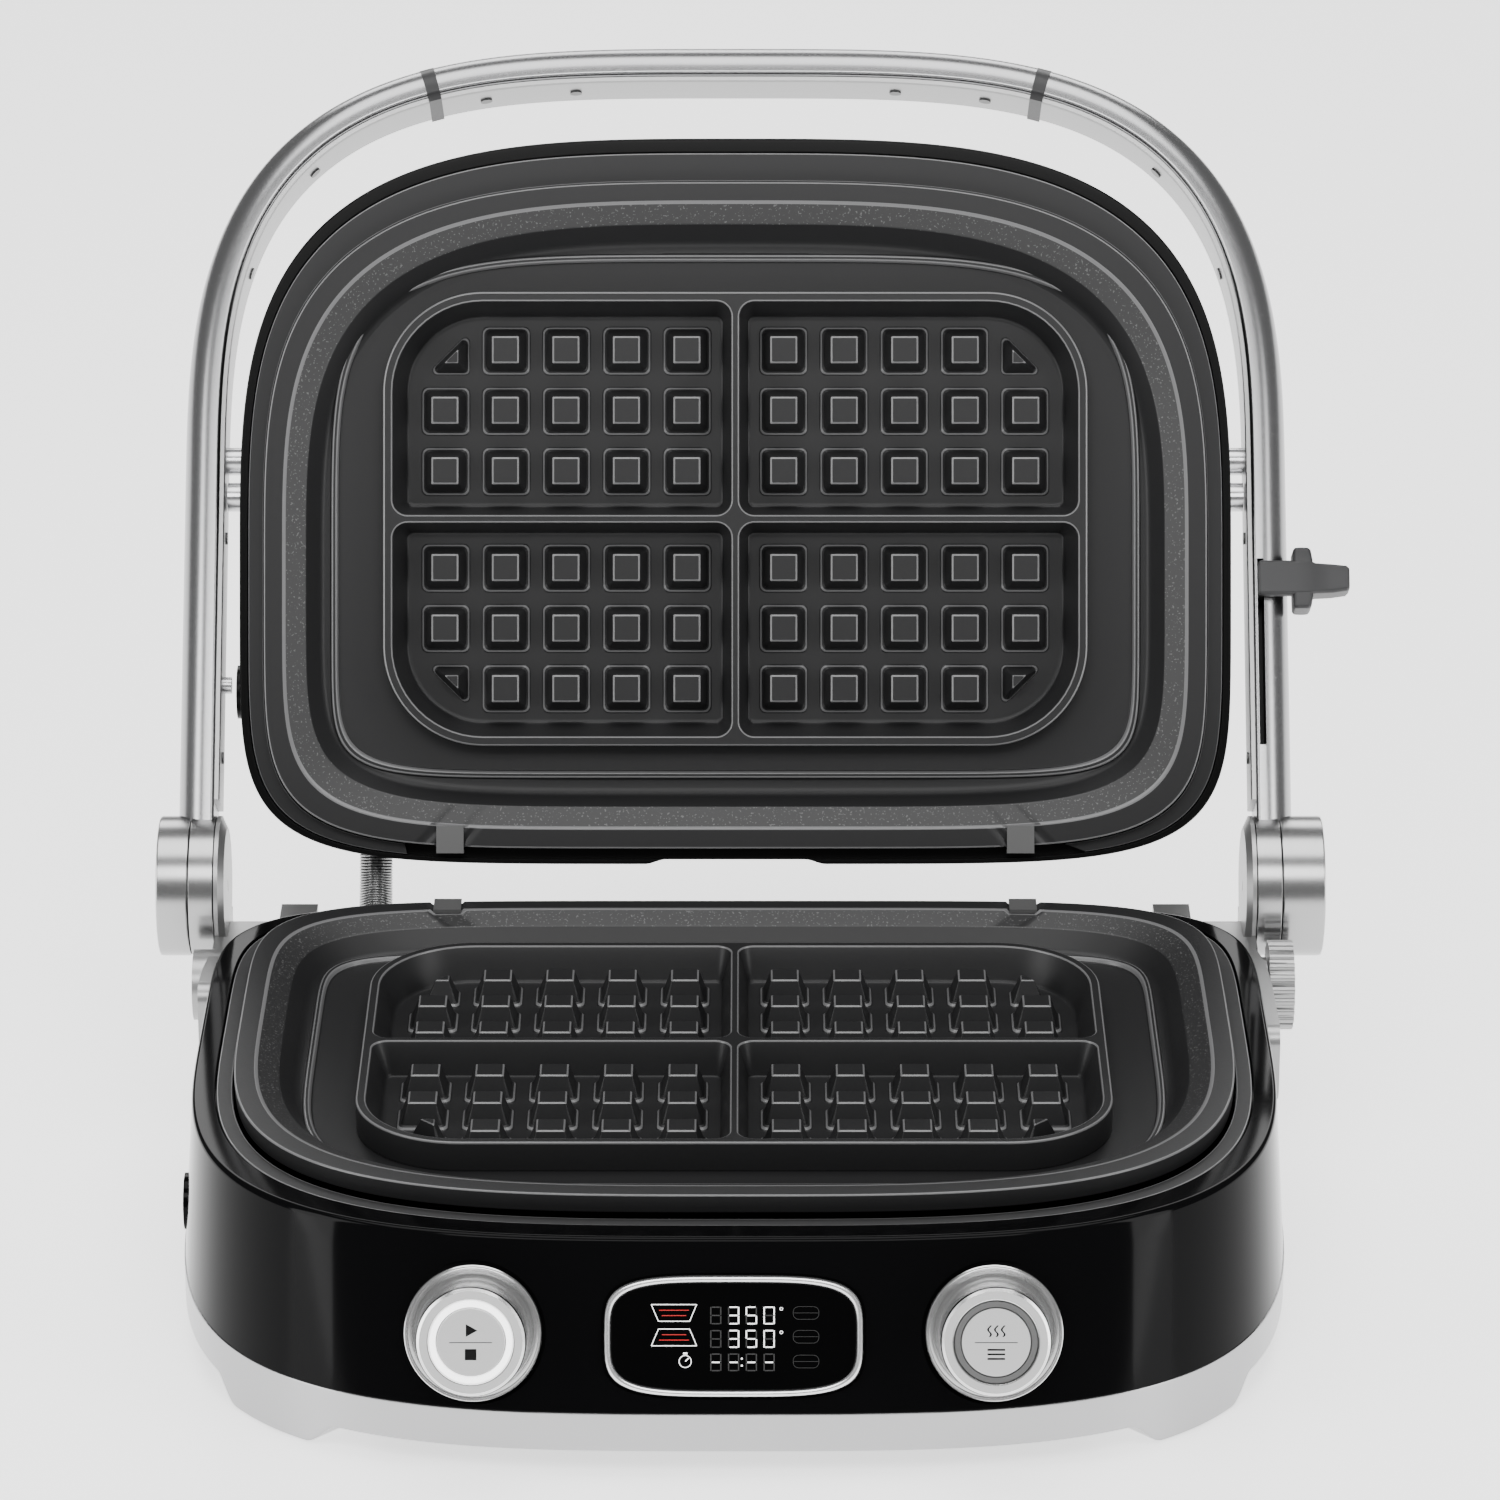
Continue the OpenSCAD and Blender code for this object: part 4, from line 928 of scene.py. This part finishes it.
def handle():
    """The two arms with their hubs, strips and caps, the grip between them, and the two separators."""
    for side, tag in ((-1, "left"), (1, "right")):
        path = arm_path(ARM_START, RING_ANGLE - RING_STEP)
        arm = sweep("arm_tube_" + tag, path, tube_section(), HANDLE, side)
        if side > 0:
            cut_slot(arm)
        hub = barrel("hub_" + tag, HUB_IN, HUB_OUT, side, BARREL, 0.3)
        piece(join("arm_" + tag + "_metal", [arm, hub]), "handle", "handle_metal", "arm_" + tag)
        path = arm_path(STRIP_START, RING_ANGLE - RING_STEP)
        strip = sweep("strip_" + tag, path, strip_section(), STRIP, side)
        piece(strip, "handle", "handle_strip", "arm_strip_" + tag)
        out = abs(size_mm("hinge_cap_" + tag)[0 if side < 0 else 1].x)
        cap = barrel("cap_" + tag, CAP_IN, out, side, BARREL, 0.8)
        piece(cap, "handle", "barrel_metal", "hinge_cap_" + tag)
    path = span_path(RING_ANGLE + RING_STEP, 90, 40)
    grip = grip_sweep("grip_metal", path, tube_section(), HANDLE)
    piece(grip, "handle", "handle_metal", "grip")
    strip = grip_sweep("grip_inner_strip", path, strip_section(), STRIP)
    piece(strip, "handle", "handle_strip", "grip_strip")
    path = span_path(RING_ANGLE - RING_STEP, RING_ANGLE + RING_STEP, 3)
    section = [(-STRIP_T - 0.1 if x < 0.01 else x, y) for x, y in tube_section(0.18)]
    rings = [sweep("ring", path, section, DARK, side) for side in (-1, 1)]
    piece(join("grip_separators", rings), "handle", "dark_plastic", "grip_rings")


def grip_sweep(name, path, section, mat):
    """The grip runs from one separator over the middle to the other, the same on both sides."""
    loops = along_bow(path, section)
    loops += [[(-x, y, z) for x, y, z in loop] for loop in reversed(loops[:-1])]
    return solid(name, loops, [mat], bow())


def height_lever():
    """The cross-shaped lever on the right arm: a bar with a bent tip, and a paddle across it."""
    turn = bow() @ Matrix.Translation((0, -LEVER_REACH, 0))
    spans = (
        (173.1, 5.5, -16.6, -12.7), (173.8, 5.9, -17.0, -12.7), (184.0, 5.9, -17.0, -12.7),
        (185.5, 5.9, -17.0, -7.5), (190.4, 5.7, -17.0, -6.2), (191.9, 5.2, -16.2, -6.0),
        (197.5, 4.9, -15.8, -6.0), (202.2, 4.3, -16.2, -6.4), (203.1, 3.5, -15.7, -7.0))
    loops = []
    for x, h, z0, z1 in spans:
        loops.append([(x, a, b) for a, b in rounded(box_corners(-h, z0, h, z1), [1.3] * 4, 4)])
    parts = [solid("bar", loops, [DARK], turn, 40)]
    half = (
        (6.0, 184.4, 191.0, -16.8, -5.1), (9.4, 184.5, 190.4, -16.7, -5.2),
        (10.2, 185.0, 189.8, -16.2, -5.8), (10.4, 185.8, 189.0, -15.6, -6.4))
    spans = [(-y, *rest) for y, *rest in reversed(half)] + list(half)
    loops = []
    for y, x0, x1, z0, z1 in spans:
        loops.append([(a, y, b) for a, b in rounded(box_corners(x0, z0, x1, z1), [1.2] * 4, 4)])
    parts.append(solid("paddle", loops, [DARK], turn, 40))
    loops = [[(x, y, z) for x, y in box_corners(173.0, -5, 174.8, 5)] for z in (-13.6, -4.6)]
    parts.append(solid("tongue", loops, [DARK], turn))
    piece(join("height_lever_cross", parts), "height_lever", "dark_plastic", "height_lever")


def cut_slot(arm):
    """The slot in the right arm's underside that the height lever slides in."""
    corners = box_corners(SLOT_X, -SLOT_HIGH, SLOT_X + SLOT_W, -SLOT_LOW)
    loops = [[(x, y, z) for x, y in corners] for z in (-TUBE_D / 2 - 2, -1.5)]
    cut(arm, solid("cutter", loops, [SATIN_BLACK], bow()), keep_finish=True)


# ------------ controls

CAP_LOW, CAP_HIGH, CAP_R = 4.0, 19.0, 16.3
COLUMN_X = -17.6
MAGNIFIER = (-14.3, -7.4)
BOX_LEFT, BOX_RIGHT = 17.6, 25.2


def knobs():
    """Each knob: its collar in the wall, its cap, its light ring and its push button."""
    top = CAP_HIGH
    for side, tag, light in ((-1, "left", LIGHT_ON), (1, "right", LIGHT_OFF)):
        seat = on_panel(side * KNOB_X, KNOB_DROP) @ Matrix.Translation((0, 0, SEAT))
        skirt = lathe("skirt_" + tag, [
            (18.2, 1.2), (19.3, 1.6), (19.5, 3.0), (19.8, 3.35), (20.1, 3.35), (20.4, 3.0),
            (20.4, 0.0), (4.7, 0.0), (4.7, 1.0), (18.2, 1.2)], [KNOB], seat, angle=25)
        cone = [(4.7, 1.1), (18.1, 1.3), (16.6, 3.3), (4.7, 3.3)]
        collar = lathe("collar_" + tag, cone, [KNOB], seat, angle=25)
        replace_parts(piece(join("knob_skirt_" + tag, [skirt, collar]), "base", "knob_metal"), "knob_skirts")
        r = CAP_R
        cap = lathe("knob_" + tag, [
            (3.0, -7.5), (3.0, CAP_LOW - 0.2), (r - 0.6, CAP_LOW), (r, CAP_LOW + 0.5), (r, top - 1.2),
            (r - 0.35, top - 0.4), (r - 1.1, top), (12.9, top), (12.6, top - 0.1),
            (12.35, top - 0.5), (12.3, top - 1.4), (10.3, top - 1.5), (10.3, top - 4.5),
            (0, top - 4.5)], [KNOB, KNOB_FACE], seat, [0] * 6 + [1] + [0] * 6, angle=25)
        piece(cap, "knob_" + tag, "knob_metal", "knob_cap_" + tag)
        glow = lathe("knob_light_" + tag, [
            (10.35, top - 1.3), (10.4, top - 0.35), (10.6, top - 0.1),
            (12.0, top - 0.1), (12.2, top - 0.4), (12.2, top - 1.3)], [light], seat, angle=40)
        piece(glow, "knob_" + tag, "light_on" if side < 0 else "light_off", "knob_ring_" + tag)
        disc = lathe("button_" + tag, [
            (0, top - 2.9), (10.1, top - 2.9), (10.1, top - 0.15),
            (9.95, top + 0.05), (9.6, top + 0.15), (0, top + 0.15)], [KNOB_FACE], seat, angle=25)
        face = seat @ Matrix.Translation((0, 0, top + 0.17))
        marks = start_marks(face) if side < 0 else sear_marks(face)
        button = join("push_button_" + tag, [disc, *marks])
        piece(button, "button_" + tag, "knob_metal", "knob_button_" + tag)


def flat(outline, mat, turn):
    """A thin mark lying on a face."""
    face = tuple(range(len(outline)))
    return mesh_object("mark", [(x, y, 0) for x, y in outline], [face], [mat], turn=turn)


def start_marks(face):
    """A line, with a triangle over it and a square under it."""
    shapes = [box_corners(-6.3, -0.12, 6.3, 0.12), [(-1.4, 1.7), (2.0, 3.6), (-1.4, 5.5)],
              box_corners(-1.7, -5.2, 1.7, -1.9)]
    return [flat(shape, INK, face) for shape in shapes]


def sear_marks(face):
    """A line, with three waves over it and three bars under it."""
    shapes = [box_corners(-6.3, -0.12, 6.3, 0.12)]
    for k in range(3):
        shapes.append(box_corners(-2.6, -2.4 - 1.35 * k, 2.6, -1.85 - 1.35 * k))
    for x in (-2.0, 0.0, 2.0):
        wave = [(x + 0.45 * math.sin(v * 2.2) - 0.28, 1.7 + v) for v in np.linspace(0, 3.4, 12)]
        shapes.append(wave + [(px + 0.56, py) for px, py in reversed(wave)])
    return [flat(shape, INK, face) for shape in shapes]


def screen():
    """The display's polished frame, and its glass with the marks on it."""
    panel = on_panel(0, DISPLAY_DROP)
    line, low = 1.8, -1.8
    edge = ((0, low), (0, 0.6), (0.25, 1.05), (0.7, 1.25), (1.1, 1.25), (1.5, 1.05), (line, 0.5),
            (line, low), (0, low))
    bezel = loft("display_frame", [display_loop(*step) for step in edge], [CHROME], turn=panel)
    piece(bezel, "base", "polished_trim", "display_bezel")
    inner = line + 0.1
    edge = ((inner, low), (inner, 0.4), (inner + 0.2, 0.55))
    glass = solid("display_glass", [display_loop(*step) for step in edge], [SCREEN], panel)
    marks = display_marks(panel @ Matrix.Translation((0, 0, 0.62)))
    piece(join("display_screen", [glass, *marks]), "base", "screen", "display_lens")


SEGMENTS = {"0": "abcdef", "3": "abcdg", "5": "acdfg", "-": "g", " ": ""}


def segment_bars(x, y, w, h, s):
    """The seven bars of a digit whose lower left corner is at x, y."""
    m = h / 2
    gap = 0.12
    return {
        "a": box_corners(x + s + gap, y + h - s, x + w - s - gap, y + h),
        "d": box_corners(x + s + gap, y, x + w - s - gap, y + s),
        "g": box_corners(x + s + gap, y + m - s / 2, x + w - s - gap, y + m + s / 2),
        "f": box_corners(x, y + m + gap, x + s, y + h - gap),
        "b": box_corners(x + w - s, y + m + gap, x + w, y + h - gap),
        "e": box_corners(x, y + gap, x + s, y + m - gap),
        "c": box_corners(x + w - s, y + gap, x + w, y + m - gap),
    }


def ring_mark(x, y, r, line, face, mat, steps=28):
    """A thin circle."""
    loops = [[(x + k * math.cos(t), y + k * math.sin(t), 0) for t in turns(steps)] for k in (r - line, r)]
    return loft("mark", loops, [mat], turn=face)


def stroke(points, line, face, mat, closed=True):
    """A thin outline drawn along points."""
    marks = []
    ends = points[1:] + points[:1] if closed else points[1:]
    for (x0, y0), (x1, y1) in zip(points, ends):
        length = math.hypot(x1 - x0, y1 - y0)
        nx, ny = -(y1 - y0) / length * line / 2, (x1 - x0) / length * line / 2
        outline = [(x0 + nx, y0 + ny), (x1 + nx, y1 + ny), (x1 - nx, y1 - ny), (x0 - nx, y0 - ny)]
        marks.append(flat(outline, mat, face))
    return marks


def display_marks(face):
    """Three rows of digits, plate signs and a lens left of them, and empty boxes right of them."""
    marks = []
    for row, text in enumerate((" 350", " 350", "----")):
        y = 3.7 - 7.0 * row
        for column, sign in enumerate(text):
            x = -6.9 + 5.25 * column
            for key, outline in segment_bars(x, y, 3.3, 5.3, 0.36).items():
                marks.append(flat(outline, SIGN if key in SEGMENTS[sign] else SIGN_DIM, face))
        if row < 2:
            marks.append(ring_mark(14.1, y + 4.6, 0.5, 0.16, face, SIGN, 16))
    for y in (-6.8, -8.9):
        marks.append(flat(box_corners(2.2, y, 2.7, y + 0.5), SIGN, face))
    mid = COLUMN_X
    for y, flip in ((7.1, 1), (-0.2, -1)):
        top, low = (6.7, 4.6) if flip > 0 else (4.6, 6.7)
        shape = [(mid - top, y + 2.5), (mid + top, y + 2.5), (mid + low, y - 2.5), (mid - low, y - 2.5)]
        marks += stroke(shape, 0.22, face, SIGN)
        for dy, half in ((0.8 * flip, 4.4), (-0.8 * flip, 3.6)):
            outline = box_corners(mid - half, y + dy - 0.1, mid + half, y + dy + 0.1)
            marks.append(flat(outline, SIGN_RED, face))
    x, y = MAGNIFIER
    marks.append(ring_mark(x, y, 1.9, 0.2, face, SIGN))
    marks.append(flat(box_corners(x - 0.6, y + 2.1, x + 0.6, y + 2.7), SIGN, face))
    marks += stroke([(x, y), (x + 1.0, y + 1.0)], 0.3, face, SIGN, closed=False)
    for y in (7.1, 0.0, -7.4):
        box = box_corners(BOX_LEFT, y - 1.9, BOX_RIGHT, y + 1.9)
        marks += stroke(rounded(box, [1.6] * 4, 4), 0.14, face, SIGN_DIM)
        marks += stroke([(BOX_LEFT, y), (BOX_RIGHT, y)], 0.14, face, SIGN_DIM, closed=False)
    return marks


# ------------ conduit


CONDUIT_X, CONDUIT_OUT, CONDUIT_BACK = -120.0, 30.0, 4.0
CONDUIT_TAIL = 16


def conduit():
    """The ribbed tube: an arc round the hinge, and a straight stretch into the lid."""
    half = math.radians((180 - OPEN_ANGLE) / 2)
    radius = CONDUIT_OUT + CONDUIT_BACK / math.tan(half)
    centre = Vector((CONDUIT_X, HINGE.y - CONDUIT_BACK, HINGE.z - CONDUIT_OUT + radius))
    tube, rib, steps = 5.6, 1.0, 6
    arc_ribs = round(2 * half * radius / rib)
    count = arc_ribs * steps
    loops = []
    for i in range(count + CONDUIT_TAIL * steps + 1):
        a = 2 * half * min(1.0, i / count)
        out = Vector((0, math.sin(a), -math.cos(a)))
        along = Vector((0, math.cos(a), math.sin(a))) * max(0, i - count) * rib / steps
        r = tube - 0.35 * (0.5 + 0.5 * math.cos(2 * math.pi * i / steps))
        c = centre + out * radius + along
        side = Vector((1, 0, 0))
        loops.append([tuple(c + side * (r * math.cos(t)) + out * (r * math.sin(t))) for t in turns(32)])
    split = int(arc_ribs * 0.84) * steps
    # painted shade: the two rows of quads on either side of each groove's bottom get the dark steel grey, for
    # the shade in the grooves
    rows = [1 if i % steps in (0, steps - 1) else 0 for i in range(len(loops) - 1)]
    lower = loft("conduit_lower", loops[:split + 1], [RIBBED, DARK_STEEL_AND_GROOVE_SHADE], rows[:split], angle=80)
    upper = loft("conduit_upper", loops[split:], [RIBBED, DARK_STEEL_AND_GROOVE_SHADE], rows[split:], angle=80)
    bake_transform(lower)
    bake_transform(upper)
    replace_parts(upper, "conduit_gland_lid")
    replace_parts(lower, "conduit")


# ------------ CAD nodes that stay


def dress_cad():
    """Finishes, smooth shading and small bevels for the CAD nodes that stay."""
    for name, node in NODES.items():
        node.data.materials.clear()
        node.data.materials.append(CAD_FINISH[name])
        smooth(node, 30)
        if name in BEVELS:
            edge = node.modifiers.new("edge", "BEVEL")
            edge.width = BEVELS[name] * MM
            edge.segments = 3
            edge.limit_method = "ANGLE"
            edge.angle_limit = math.radians(32)
            edge.harden_normals = True


# ------------ studio


def area_light(name, at, look, size, power, size_y=None):
    light = bpy.data.lights.new(name, "AREA")
    light.energy = power
    light.size = size
    if size_y:
        light.shape = "RECTANGLE"
        light.size_y = size_y
    obj = show(name, light)
    obj.location = at
    obj.rotation_euler = (Vector(look) - Vector(at)).to_track_quat("-Z", "Y").to_euler()


def studio():
    """A white floor, a dim white world and five area lights."""
    points = [(-9, -9, 0), (9, -9, 0), (9, 9, 0), (-9, 9, 0)]
    mesh = bpy.data.meshes.new("floor")
    mesh.from_pydata(points, [], [(0, 1, 2, 3)])
    mesh.materials.append(glowing("floor_white", (0.8, 0.8, 0.8), 2.0))
    show("floor", mesh)
    world = bpy.data.worlds.new("studio")
    world.use_nodes = True
    put(world.node_tree.nodes["Background"], Color=(1, 1, 1, 1), Strength=0.25)
    bpy.context.scene.world = world
    area_light("front_top", (0, -1.25, 1.45), (0, 0.05, 0.15), 1.4, 18, 0.6)
    area_light("overhead", (0, 0.1, 1.7), (0, 0.05, 0.1), 1.5, 22, 1.0)
    area_light("behind_top", (0, 1.7, 1.1), (0, 0.05, 0.1), 1.6, 16, 0.7)
    area_light("left_box", (-1.25, -0.70, 0.6), (0, -0.05, 0.1), 0.50, 14.0, 1.3)
    area_light("right_box", (1.25, -0.75, 0.6), (0, -0.05, 0.1), 0.45, 12.0, 1.3)


def camera():
    data = bpy.data.cameras.new("camera")
    data.lens = 160.8
    data.sensor_width = 36
    data.clip_end = 20
    obj = show("camera", data)
    obj.location = (0.00485, -1.9068, 0.9518)
    obj.rotation_euler = (math.radians(67.8), 0, 0)
    bpy.context.scene.camera = obj


# ------------ everything

dress_cad()
base_wall()
base_band()
plate_mesh("waffle_plate_lower", Matrix.Translation((0, 0, PART_Z)), "base", "lower_plate")
upside_down = opened() @ Matrix.Translation((0, 0, LID_Z)) @ Matrix.Scale(-1, 4, (0, 0, 1))
plate_mesh("waffle_plate_upper", upside_down, "lid", "upper_plate")
ring_inner = (RING_W - 4.9, RING_FRONT - 4.9, PLATE_REAR + 0.5)
part_ring("base_ring", "base", RING_TOP, RING_LOW, ring_inner, None, "lower_ring")
ring_inner = (PLATE_W + 0.5, PLATE_FRONT + 0.5, PLATE_REAR + 0.5)
part_ring("lid_ring_trim", "lid", LID_RIM_Z, LID_RIM_Z + RING_H, ring_inner, opened(), "lid_ring")
lid_shell()
lid_bosses()
lid_cover()
handle()
height_lever()
knobs()
screen()
conduit()
studio()
camera()
